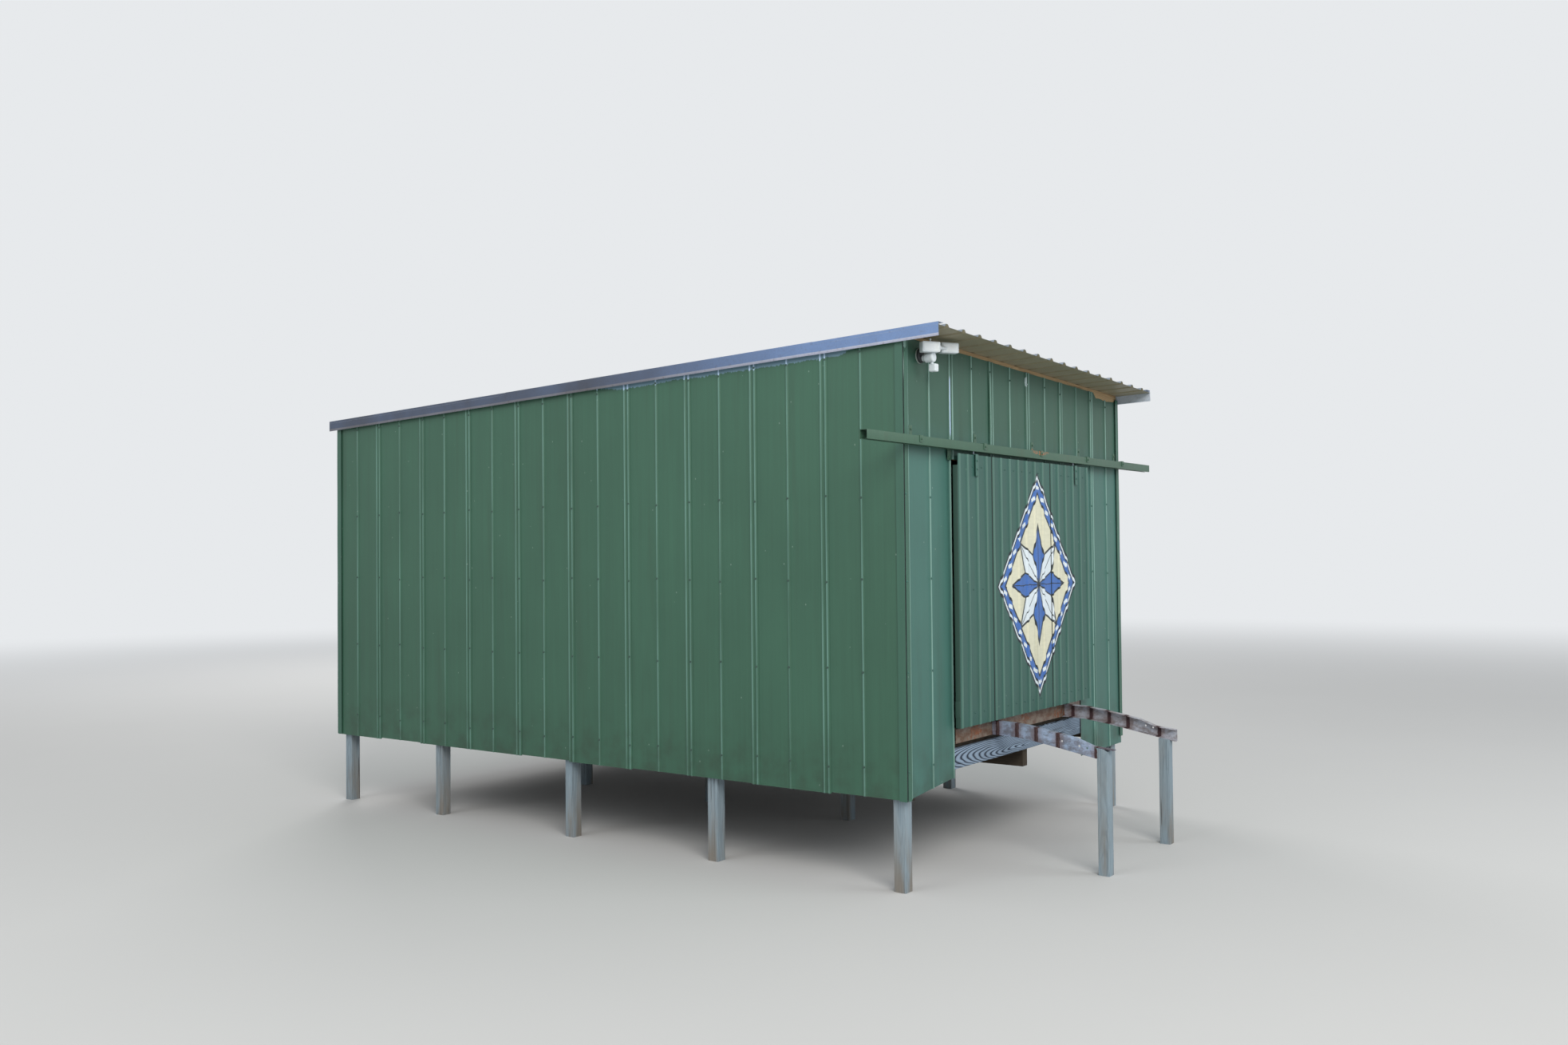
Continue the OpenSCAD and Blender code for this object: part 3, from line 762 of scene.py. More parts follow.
@dataclass(frozen=True)
class DoorPattern:
    """A painted quilt star in a long diamond, in cream, blue and black."""

    middle_x: float = SITE.x + 1.88
    middle_z: float = SITE.sheet_bottom + 1.37
    half_w: float = 0.69
    half_h: float = 0.86
    star_arm: float = 0.235
    line: float = 0.016
    dots_a_metre: float = 10.0
    dot_level: float = 0.875
    cream: Colour = srgb(216, 214, 190)
    blue: Colour = srgb(66, 108, 178)
    dark: Colour = srgb(34, 42, 48)
    pale: Colour = srgb(214, 224, 230)

    def paint(self, g: Graph, under: Value) -> Value:
        """Lays the pattern over a colour.

        The diamond's level is |across| / half_w + |up| / half_h, which is 1 on its outline. Lines and bands
        are drawn where the level passes fixed values.

        Args:
            g: the material's graph.
            under: the colour under the pattern.

        Returns:
            The painted colour.
        """
        wobble = (g.noise(g.at, 9.0, 3.0) - 0.5) * 0.022
        across = g.axes[0] - self.middle_x + wobble
        up = g.axes[2] - self.middle_z + wobble
        level = g.math("ABSOLUTE", across) * (1 / self.half_w) + g.math("ABSOLUTE", up) * (1 / self.half_h)
        brush = g.between(g.noise(g.scaled(g.at, (9.0, 9.0, 60.0)), 1.0, 3.0), 0.86, 1.08)
        cream, blue = g.shade(self.cream, brush), g.shade(self.blue, brush)
        colour = g.blend(g.step(level, 1.004, 0.998), under, self.dark)
        for outer, paint in ((0.972, self.pale), (0.945, self.dark), (0.922, blue), (0.828, self.dark),
                             (0.800, cream)):
            colour = g.blend(g.step(level, outer + 0.003, outer - 0.003), colour, paint)
        colour = self.band_dots(g, up, level, colour)
        return self.star(g, across, up, colour, blue)

    def band_dots(self, g: Graph, up: Value, level: Value, colour: Value) -> Value:
        """Paints pale lozenges along the diamond's blue band, one each fixed step of its height.

        Args:
            g: the material's graph.
            up: height over the pattern's middle.
            level: the diamond's level.
            colour: the colour so far.

        Returns:
            The new colour.
        """
        off = g.math("ABSOLUTE", g.math("FRACT", up * self.dots_a_metre) - 0.5)
        middle = g.math("ABSOLUTE", level - self.dot_level) * 6.0
        return g.blend(g.step(off + middle, 0.27, 0.24), colour, self.pale)

    def star(self, g: Graph, across: Value, up: Value, colour: Value, blue: Value) -> Value:
        """Paints the eight-armed star, with each arm split along its middle into two tones.

        The angle is folded into one eighth of a turn, where a straight line bounds each arm.

        Args:
            g: the material's graph.
            across: distance to the right of the pattern's middle.
            up: height over it.
            colour: the colour so far.
            blue: the colour of every other arm.

        Returns:
            The new colour.
        """
        eighth = math.pi / 4
        angle = g.math("ARCTAN2", up, across)
        radius = g.math("SQRT", across * across + up * up)
        turns = g.math("DIVIDE", angle, eighth) + 8.5
        folded = (g.math("FRACT", turns) - 0.5) * eighth
        along = radius * g.math("COSINE", folded)
        aside = radius * g.math("ABSOLUTE", g.math("SINE", folded))
        lean = eighth / 2
        edge = along * math.sin(lean) + aside * math.cos(lean)
        reach = self.star_arm * 2 * math.sin(lean) * math.cos(lean)
        colour = g.blend(g.step(edge, reach + self.line, reach + self.line - 0.003), colour, self.dark)
        odd = g.math("GREATER_THAN", g.math("FRACT", g.math("FLOOR", turns) * 0.5), 0.25)
        arm = g.blend(odd, blue, self.pale)
        colour = g.blend(g.step(edge, reach, reach - 0.003), colour, arm)
        side = along * math.sin(lean) - aside * math.cos(lean)
        within = g.step(edge, reach + self.line, reach)
        seam = g.step(side, self.line * 0.45, self.line * 0.3) * within
        vein = g.step(aside, self.line * 0.28, self.line * 0.16) * within
        return g.blend(g.math("MAXIMUM", seam, vein), colour, self.dark)


@dataclass(frozen=True)
class Zinc:
    """Dull zinc with a faint spangle, dirt, rust in patches or in bands across a rail, and darkening towards
    the back that is dirt and painted tree shade.
    """

    name: str
    base: Colour
    rust: float = 0.2
    metal: float = 0.55
    back_dirt_and_shade: Pair | None = None
    patch: Colour | None = None
    bands: tuple[float, ...] = ()
    band_w: float = 0.015
    end: float | None = None

    def make(self) -> Material:
        """Builds the finish.

        Returns:
            The material.
        """
        g = Graph(self.name)
        at = g.at
        spangle = g.parts(g.cells(at, 90.0, True))[0]
        clouds = g.noise(at, 3.0, 4.0)
        fine = g.noise(at, 38.0, 4.0)
        tone = g.between(clouds, 0.8, 1.16) + g.between(spangle, -0.05, 0.05)
        colour = g.shade(self.base, tone)
        colour = g.blend(g.step(fine, 0.55, 0.75) * 0.35, colour, srgb(96, 92, 90))
        if self.patch:
            spots = g.step(g.noise(g.scaled(at, (1.0, 1.0, 1.6)), 13.0, 5.0, 0.7), 0.38, 0.62)
            colour = g.blend(spots * 0.9, colour, self.patch)
        rust_tone = g.blend(g.noise(at, 55.0, 4.0), srgb(70, 40, 32), srgb(146, 92, 60))
        mask = g.step(clouds + g.between(fine, -0.25, 0.25), 0.86 - self.rust, 1.0 - self.rust)
        # Darker and browner towards the back: dirt, and painted shade of the trees.
        if self.back_dirt_and_shade:
            start, end = self.back_dirt_and_shade
            far = g.step(g.axes[1], start, end) * g.between(g.noise(at, 2.0, 4.0), 0.45, 1.0)
            colour = g.blend(far * 0.95, colour, srgb(58, 52, 44))
        colour = g.blend(mask, colour, rust_tone)
        if self.back_dirt_and_shade:
            mask = g.math("MAXIMUM", mask, far * 0.8)
        if self.bands:
            colour, mask = self.rusty_bands(g, fine, colour, mask)
        rough = g.between(spangle, 0.36, 0.48) + mask * 0.38
        g.set(Base_Color=colour, Metallic=(1.0 - mask) * self.metal, Roughness=rough)
        g.relief(fine * 0.5 + mask * fine, 0.0016, 0.5)
        return g.material

    def rusty_bands(self, g: Graph, fine: Value, colour: Value, mask: Value) -> tuple[Value, Value]:
        """Lays a dark band with a brown halo across the rail at each weld, and covers its end with rust.

        Args:
            g: the material's graph.
            fine: fine clouds that make the band's edge ragged.
            colour: the colour so far.
            mask: how rusty each point is so far.

        Returns:
            The new colour and mask.
        """
        y = g.axes[1]
        near, halo = 0.0, 0.0
        for place in self.bands:
            edge = g.math("ABSOLUTE", y - place) + g.between(fine, -0.007, 0.007)
            near = g.math("MAXIMUM", near, g.step(edge, self.band_w * 1.3, self.band_w * 0.7))
            halo = g.math("MAXIMUM", halo, g.step(edge, self.band_w * 4.0, self.band_w))
        colour = g.blend(halo * 0.45, colour, srgb(118, 92, 88))
        if self.end is not None:
            ragged = y + g.between(fine, -0.03, 0.03)
            near = g.math("MAXIMUM", near, g.step(ragged, self.end + 0.012, self.end - 0.012) * 0.8)
        tone = g.blend(g.noise(g.at, 70.0, 3.0), srgb(42, 28, 32), srgb(76, 48, 50))
        return g.blend(near, colour, tone), g.math("MAXIMUM", mask, near)


@dataclass(frozen=True)
class Timber:
    """Sawn softwood, fresh or weathered grey, with growth rings, fibres, stains and drying cracks.

    The piece stores the place in each board as the attribute grain: along it, across it and through it.
    """

    name: str
    early: Colour
    late: Colour
    stain: Colour
    contrast: float = 0.6
    ring: float = 0.0075
    lean: float = 0.05
    pith: float = 0.045
    tilt: float = 0.02
    beat: float = 2.6
    shake: float = 1.6
    stained: float = 0.3
    cracks: float = 0.5
    foot: float = 0.0

    def make(self) -> Material:
        """Builds the finish: rings are circles about a leaning pith line, which give arches on a face.

        Returns:
            The material.
        """
        g = Graph(self.name)
        at = g.attribute("grain", True)
        u, v, w = g.parts(at)
        wander = g.noise(g.scaled(at, (0.9, 2.0, 2.0)), 1.6, 3.0)
        drift = (wander - 0.5) * 0.09
        side = v + drift + g.math("SINE", u * 1.7) * self.lean
        nod = g.math("SINE", u * self.beat)
        deep = w + g.between(nod, self.pith, self.pith + self.tilt)
        radius = g.math("SQRT", side * side + deep * deep)
        shake = g.noise(g.scaled(at, (4.0, 45.0, 45.0)), 1.0, 3.0) * self.shake
        wave = g.math("SINE", radius * (2 * math.pi / self.ring) + shake)
        rings = g.math("POWER", g.between(wave, 0.5, 1.0), 2.2)
        fibre = g.noise(g.scaled(at, (7.0, 420.0, 420.0)), 1.0, 3.0, 0.6)
        clouds = g.noise(g.scaled(at, (1.5, 9.0, 9.0)), 1.0, 4.0)
        colour = g.blend(rings * self.contrast, self.early, self.late)
        colour = g.shade(colour, g.between(fibre, 0.76, 1.16) + g.between(clouds, -0.14, 0.16))
        soak = g.step(clouds, 0.45, 0.75) * self.stained
        colour = g.blend(soak, colour, self.stain)
        if self.foot:
            near = g.step(g.axes[2], self.foot, 0.0) * g.step(clouds, 0.38, 0.62)
            colour = g.blend(near * 0.6, colour, self.stain)
        split = g.noise(g.scaled(at, (1.3, 95.0, 95.0)), 1.0, 2.0, 0.4)
        crack = g.step(split, 0.655, 0.69) * self.cracks
        colour = g.blend(crack, colour, srgb(34, 30, 28))
        g.set(Base_Color=colour, Roughness=g.between(fibre, 0.72, 0.92), Specular_IOR_Level=0.25)
        g.relief(fibre * 0.5 - rings * 0.35 - crack, 0.0028, 0.65)
        return g.material


@dataclass(frozen=True)
class Plastic:
    """Outdoor plastic, slightly yellowed and dusty."""

    name: str
    base: Colour
    dust: Colour
    rough: float = 0.42

    def make(self) -> Material:
        """Builds the finish.

        Returns:
            The material.
        """
        g = Graph(self.name)
        clouds = g.noise(g.at, 18.0, 4.0)
        colour = g.blend(g.step(clouds, 0.45, 0.8) * 0.4, self.base, self.dust)
        g.set(Base_Color=colour, Roughness=g.between(clouds, self.rough, self.rough + 0.15))
        g.relief(g.noise(g.at, 420.0, 2.0), 0.0004, 0.3)
        return g.material


class Finishes:
    """Every finish of the boathouse, made once."""

    def __init__(self) -> None:
        """Builds the materials."""
        self.paints()
        self.zincs()
        self.timber()
        self.pale = Plastic("lamp_grey_plastic", srgb(146, 156, 150), srgb(120, 124, 112)).make()
        self.white = Plastic("lamp_white_plastic", srgb(214, 222, 226), srgb(176, 176, 164)).make()
        self.black = Plastic("lamp_dark_plastic", srgb(40, 42, 46), srgb(74, 72, 66), 0.5).make()
        self.lens = Plastic("lamp_lens_plastic", srgb(232, 238, 240), srgb(206, 208, 200), 0.2).make()

    def paints(self) -> None:
        """Builds the green paints, and the paints on the backs of the sheets."""
        foot = SITE.sheet_bottom
        self.side_paint = Paint(
            "side_green_paint", srgb(56, 96, 77), srgb(110, 150, 140), foot=foot, crest_wear_and_highlight=0.62,
            bare_top=(SITE.y + 0.34, SITE.y + 2.9)).make()
        self.corner_paint = Paint("corner_green_paint", srgb(58, 98, 82), srgb(112, 150, 142)).make()
        # The front and door paints are bluer than the side paint: painted bluish sky shade on the front.
        self.front_paint = Paint(
            "front_green_paint", srgb(65, 108, 99), srgb(132, 168, 158), foot=foot, crest_wear_and_highlight=0.85,
            eave_shade_from=foot + 2.35, bare_at=(SITE.x + 0.626, foot + 2.42, foot + 2.86),
            peeled_at=(SITE.x + 1.846, foot + 2.93)).make()
        self.door_paint = Paint("door_green_paint", srgb(50, 90, 81), srgb(92, 128, 116), star=True).make()
        self.steel_paint = Paint(
            "steel_green_paint", srgb(63, 95, 77), srgb(140, 166, 146), srgb(70, 66, 48),
            rust_at=(SITE.x + 1.92, foot + 2.392)).make()
        # The strap paint is a lighter copy of the door's green, painted light against the hangers' shade.
        self.strap_paint = Paint("strap_green_paint", srgb(64, 102, 92), srgb(100, 134, 122)).make()
        self.dark_paint = Paint(
            "frame_green_paint", srgb(58, 84, 75), srgb(90, 116, 104), srgb(34, 44, 38)).make()
        self.backer = Paint(
            "sheet_back_paint", srgb(128, 126, 112), srgb(150, 148, 134), srgb(84, 78, 64)).make()
        self.roof_back = Paint(
            "roof_back_paint", srgb(150, 142, 118), srgb(190, 184, 160), srgb(110, 98, 76)).make()

    def zincs(self) -> None:
        """Builds the bare metals of the roof and its trims, which darken towards the back with dirt and
        painted tree shade.
        """
        dirt_and_shade = (SITE.y + 0.5, SITE.y + 2.8)
        self.roof_zinc = Zinc("roof_zinc", srgb(150, 160, 172), 0.12, 0.6).make()
        # The trims' blue base is a painted sky reflection over grey zinc.
        self.sky_tinted_trim_zinc = Zinc("sky_tinted_trim_zinc", srgb(104, 128, 168), 0.05, 0.35, dirt_and_shade).make()
        # Painted light: the trims' inner faces get a paler zinc than their outer faces, a lit copy of the
        # same metal.
        self.lit_inner_zinc = Zinc("trim_inner_lit_zinc", srgb(200, 210, 224), 0.06, 0.05).make()
        self.hem_zinc = Zinc("trim_hem_zinc", srgb(168, 172, 190), 0.12, 0.2, dirt_and_shade).make()

    def timber(self) -> None:
        """Builds the wood finishes."""
        # The bluish cast of the grey post and board finishes is painted sky light over weathered grey wood.
        self.grey_post = Timber(
            "weathered_post", srgb(142, 158, 168), srgb(98, 114, 124), srgb(124, 106, 84), contrast=0.26,
            ring=0.011, lean=0.02, pith=0.01, tilt=0.01, cracks=0.8, foot=0.55).make()
        self.grey_board = Timber(
            "weathered_board", srgb(138, 156, 176), srgb(20, 30, 46), srgb(92, 92, 88), contrast=1.0,
            ring=0.0082, lean=0.02, pith=0.085, tilt=0.075, beat=1.25, shake=1.9, stained=0.12,
            cracks=0.4).make()
        self.raw = Timber(
            "rough_timber", srgb(112, 94, 74), srgb(74, 56, 42), srgb(52, 44, 38), stained=0.45).make()
        # Dark damp wood, darkened further as painted shade under the floor.
        self.dark = Timber(
            "shaded_damp_timber", srgb(70, 62, 52), srgb(46, 38, 30), srgb(34, 30, 26), stained=0.5).make()
        self.eave = Timber(
            "eave_board_timber", srgb(186, 160, 122), srgb(138, 110, 78), srgb(96, 80, 62)).make()
        self.inner = Timber(
            "inner_timber", srgb(172, 136, 94), srgb(128, 92, 58), srgb(110, 92, 70), ring=0.009,
            cracks=0.35).make()


# The sheets of the walls, the roof and the door.


@dataclass(frozen=True)
class Crimp:
    """The rounded ridges that stiffen a sheet."""

    height: float
    foot: float
    crest: float

    def rise(self, along: Array, centres: Array) -> Array:
        """Height of the ridges at places along a sheet.

        Each ridge is a smooth step of the distance to its centre, from 0 at half its foot to 1 at half its
        crest, and the ridges are added up.

        Args:
            along: the places.
            centres: middles of the ridges.

        Returns:
            The height at each place.
        """
        distance = np.abs(along[:, None] - centres[None, :])
        t = np.clip((self.foot / 2 - distance) / (self.foot / 2 - self.crest / 2), 0, 1)
        return self.height * (t * t * (3 - 2 * t)).sum(1)

    def columns(self, centres: Array, start: float, end: float, pitch: float,
                extra: tuple[float, ...] = ()) -> Array:
        """Places along a sheet for its columns of points: eleven across each ridge, where its line bends.

        Args:
            centres: middles of the ridges.
            start: the sheet's first edge.
            end: its last edge.
            pitch: distance between the columns on the flats.
            extra: further places.

        Returns:
            The places in rising order, rounded to a tenth of a millimetre.
        """
        shares = np.array([-1.12, -1.0, -0.8, -0.6, -0.35, 0.0, 0.35, 0.6, 0.8, 1.0, 1.12])
        ridges = (centres[:, None] + shares * self.foot / 2).ravel()
        lines = np.concatenate([ridges, np.arange(start, end, pitch), [start, end], extra])
        return np.unique(np.round(lines[(lines >= start) & (lines <= end)], 4))


@dataclass(frozen=True)
class WallSheets:
    """One wall's run of crimped sheets, each lapped over the one before."""

    node: str
    side: Side
    lap_start: float
    low: float
    high: float
    bottom: float
    bottom_rise: float = 0.0
    rise_run: float = 0.629
    drop: float = 0.012
    seed: float = 1.0
    open_lap: int | None = None
    open_by: float = 0.007
    torn: Place | None = None
    cover: float = 0.610
    lap_pitch: float = 0.038
    lap_raise: float = 0.0015
    thickness: float = 0.0010
    foot_step: float = 0.005
    wave: float = 0.0011
    column_pitch: float = 0.055
    rows: int = 36
    crimp: Crimp = Crimp(0.011, 0.025, 0.005)

    @property
    def lap_edge(self) -> float:
        """How far a sheet reaches past the middle of its lap."""
        return self.lap_pitch / 2 + self.crimp.foot / 2 + 0.005

    def bottom_at(self, along: Array) -> Array:
        """Height of the sheets' lower edge, which may rise along the wall."""
        return self.bottom + self.bottom_rise * along / self.rise_run

    def roof_at(self, along: Array) -> Array:
        """Height of the roof's underside along the wall."""
        x, y, _ = self.side.place(along, 0.0, 0.0).T
        return SITE.roof_under(x, y)

    def ranges(self) -> list[tuple[int, float, float]]:
        """The number, start and end of each sheet that is wider than its lap.

        Returns:
            One row for each sheet, in order along the wall.
        """
        first = math.floor((self.low - self.lap_start) / self.cover) - 1
        last = math.ceil((self.high - self.lap_start) / self.cover)
        kept = []
        for k in range(first, last + 1):
            start = max(self.low, self.lap_start + k * self.cover - self.lap_edge)
            end = min(self.high, self.lap_start + (k + 1) * self.cover + self.lap_edge)
            if end - start > 2 * self.lap_edge:
                kept.append((k, start, end))
        return kept

    def centres(self, k: int) -> Array:
        """Middles of the five crimps of sheet number k.

        Args:
            k: the sheet's number.

        Returns:
            The middles' places along the wall.
        """
        lap, half = self.lap_start + k * self.cover, self.lap_pitch / 2
        return np.array([lap - half, lap + half, lap + self.cover / 2, lap + self.cover - half,
                         lap + self.cover + half])

    def columns(self, start: float, end: float, centres: Array) -> Array:
        """Places along a sheet for its columns of points, with none closer than about a millimetre.

        Args:
            start: the sheet's first edge.
            end: its last edge.
            centres: middles of its crimps.

        Returns:
            The places in rising order.
        """
        lines = self.crimp.columns(centres, start, end, self.column_pitch)
        keep = np.concatenate([[True], np.diff(lines) > 0.0012])
        keep[-1] = True
        return lines[keep]

    def heights(self, k: int, along: Array) -> Array:
        """Heights of a sheet's points, in even rows from its foot to its top.

        The foot steps by a few millimetres from sheet to sheet, as a sine of its number. The top keeps its
        drop under the roof, and dips where it is torn.

        Args:
            k: the sheet's number.
            along: places of its columns.

        Returns:
            The heights, rows by columns.
        """
        foot = self.bottom_at(along) + self.foot_step * math.sin(2.4 * k + 1.7 * self.seed)
        top = self.roof_at(along) - self.drop
        if self.torn:
            begin, stop, deep = self.torn
            inside = np.clip((along - begin) / 0.012, 0, 1) * np.clip((stop - along) / 0.05, 0, 1)
            top = top - deep * inside * (1 + 0.12 * np.sin(90 * along))
        return foot + np.linspace(0, 1, self.rows)[:, None] * (top - foot)

    def stand_out(self, k: int, along: Array, rise: Array, height: Array) -> Array:
        """How far a sheet stands out from the framing.

        It is the sum of the crimps' rise, the lap's lift on the sheet's left, and a shallow ripple that dies
        out on the crests. The open lap swells by the root of a half sine over its height.

        Args:
            k: the sheet's number.
            along: places of its columns.
            rise: the crimps' rise there.
            height: heights of its points.

        Returns:
            The distances, rows by columns.
        """
        lap = self.lap_start + k * self.cover
        lift = np.clip((lap + self.lap_edge + 0.010 - along) / 0.008, 0, 1) * (self.lap_raise if k else 0.0)
        calm = 1 - rise / self.crimp.height
        out = rise + lift + self.wave * (1 + ripple(along, height, self.seed)) * (0.3 + 0.7 * calm)
        if k == self.open_lap:
            share = np.linspace(0, 1, self.rows)[:, None]
            swell = np.clip(np.sin(np.pi * np.clip(share * 1.25 - 0.12, 0, 1)), 0, 1) ** 0.5
            out = out + self.open_by * np.clip((lap + 0.004 - along) / self.lap_edge, 0, 1) * swell
        return out

    def build(self, face: Material, back: Material) -> bpy.types.Object:
        """Makes the wall's sheets as one piece.

        A sheet is a surface of two parameters, the place along the wall and the height.

        Args:
            face: the finish outside.
            back: the finish inside.

        Returns:
            The piece.
        """
        mesh = Mesh()
        for k, start, end in self.ranges():
            centres = self.centres(k)
            along = self.columns(start, end, centres)
            rise = self.crimp.rise(along, centres)
            height = self.heights(k, along)
            out = self.stand_out(k, along, rise, height)
            inner = self.side.place(along, out, height)
            outer = self.side.place(along, out + self.thickness, height)
            mesh.add_sheet(outer, inner, crest=rise / self.crimp.height, below=self.roof_at(along) - height)
        return mesh.piece(self.node.replace("sheets", "crimped"), [face, back])


@dataclass(frozen=True)
class Nails:
    """Rows of ring nails, screws or bolts with washers, all driven the same way."""

    name: str
    washer: float = 0.0085
    head: float = 0.0052
    height: float = 0.0048
    sides: int = 8

    def outline(self) -> tuple[Pair, ...]:
        """The head's outline, as distance from its axis and height: a washer dome and a hexagon."""
        return ((self.washer, -0.002), (self.washer, 0.0006), (self.head * 1.1, 0.0016), (self.head, 0.0020),
                (self.head, self.height - 0.0008), (self.head * 0.8, self.height))

    def drive(self, spots: Array, out: Place, finish: Material, body: str, slot: str) -> None:
        """Makes all heads as one piece, which is the turned outline at each spot, and reports it.

        Args:
            spots: places of the heads' feet, one row each.
            out: the direction that all heads point in.
            finish: their material.
            body: the body that they ride on.
            slot: their material slot.
        """
        points, faces = Lathe((0.0, 0.0, 0.0), out, self.outline(), self.sides).shell()
        mesh = Mesh()
        for spot in spots:
            mesh.add(points + spot, faces)
        settle(mesh.piece(self.name, [finish], 35.0), body, slot)


@dataclass(frozen=True)
class Walls:
    """All wall sheets with their nails."""

    doorway_x: float = 0.629
    doorway_end: float = 2.779
    side_start: float = 0.016
    front_start: float = 0.035
    eave_show: float = 0.028
    header_z: float = 2.880
    left_rise: float = 0.062
    torn: Place = (3.20, 3.64, 0.042)
    nail_rows: tuple[float, ...] = (0.80, 1.45, 2.05, 2.62)
    nail_seat: float = 0.0016
    top_nail: float = 0.09

    def runs(self) -> list[WallSheets]:
        """The runs of sheets, wall by wall.

        Returns:
            The runs, each with its own laps and seed.
        """
        low, length, width, start = SITE.sheet_bottom, SITE.length, SITE.width, self.front_start
        left_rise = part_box("front_left_sheets")[0].z - low + self.left_rise
        return [
            WallSheets("left_wall_sheets", Side.LEFT, self.side_start, 0, length, low, seed=1.0),
            WallSheets("right_wall_sheets", Side.RIGHT, self.side_start, 0, length, low, seed=2.3),
            WallSheets("rear_wall_sheets", Side.REAR, start, 0, width, low, seed=3.1),
            WallSheets("front_left_sheets", Side.FRONT, start, 0, self.doorway_x, low, left_rise,
                       drop=self.eave_show, seed=4.2),
            WallSheets("front_right_sheets", Side.FRONT, start, self.doorway_end, width,
                       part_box("front_right_sheets")[0].z, drop=self.eave_show, seed=5.3, torn=self.torn),
            WallSheets("front_upper_sheets", Side.FRONT, start, self.doorway_x, self.doorway_end,
                       self.header_z, drop=self.eave_show, seed=6.1, open_lap=2),
        ]

    def nail_spots(self, run: WallSheets) -> Array:
        """Sets out the nails on the crests of a run's crimps, at the levels of the girts.

        Args:
            run: the wall's sheets.

        Returns:
            The places of the nails' feet, one row each.
        """
        spots = []
        out = run.crimp.height + run.thickness + self.nail_seat
        for k, start, end in run.ranges():
            centres = run.centres(k)[[0, 2]]
            for place in centres[(centres > start + 0.01) & (centres < end - 0.01)]:
                foot = run.side.place(place, 0.0, 0.0)
                top = float(SITE.roof_under(foot[0], foot[1])) - run.drop - self.top_nail
                for row, level in enumerate([*self.nail_rows, top]):
                    if level > run.bottom_at(place) + 0.05:
                        shift = 0.012 * math.sin(7.0 * place + 3.0 * row)
                        spots.append(run.side.place(place, out, level + shift))
        return np.array(spots)

    def build(self, finishes: Finishes) -> None:
        """Makes the walls and their nails, and reports them.

        Args:
            finishes: the materials.
        """
        for run in self.runs():
            front = run.side is Side.FRONT
            paint = finishes.front_paint if front else finishes.side_paint
            settle(run.build(paint, finishes.backer), FIXED, "green_sheet", run.node)
            nail_paint = paint if front else finishes.dark_paint
            nails = Nails(run.node.replace("sheets", "nails"))
            nails.drive(self.nail_spots(run), run.side.value, nail_paint, FIXED, "green_sheet")


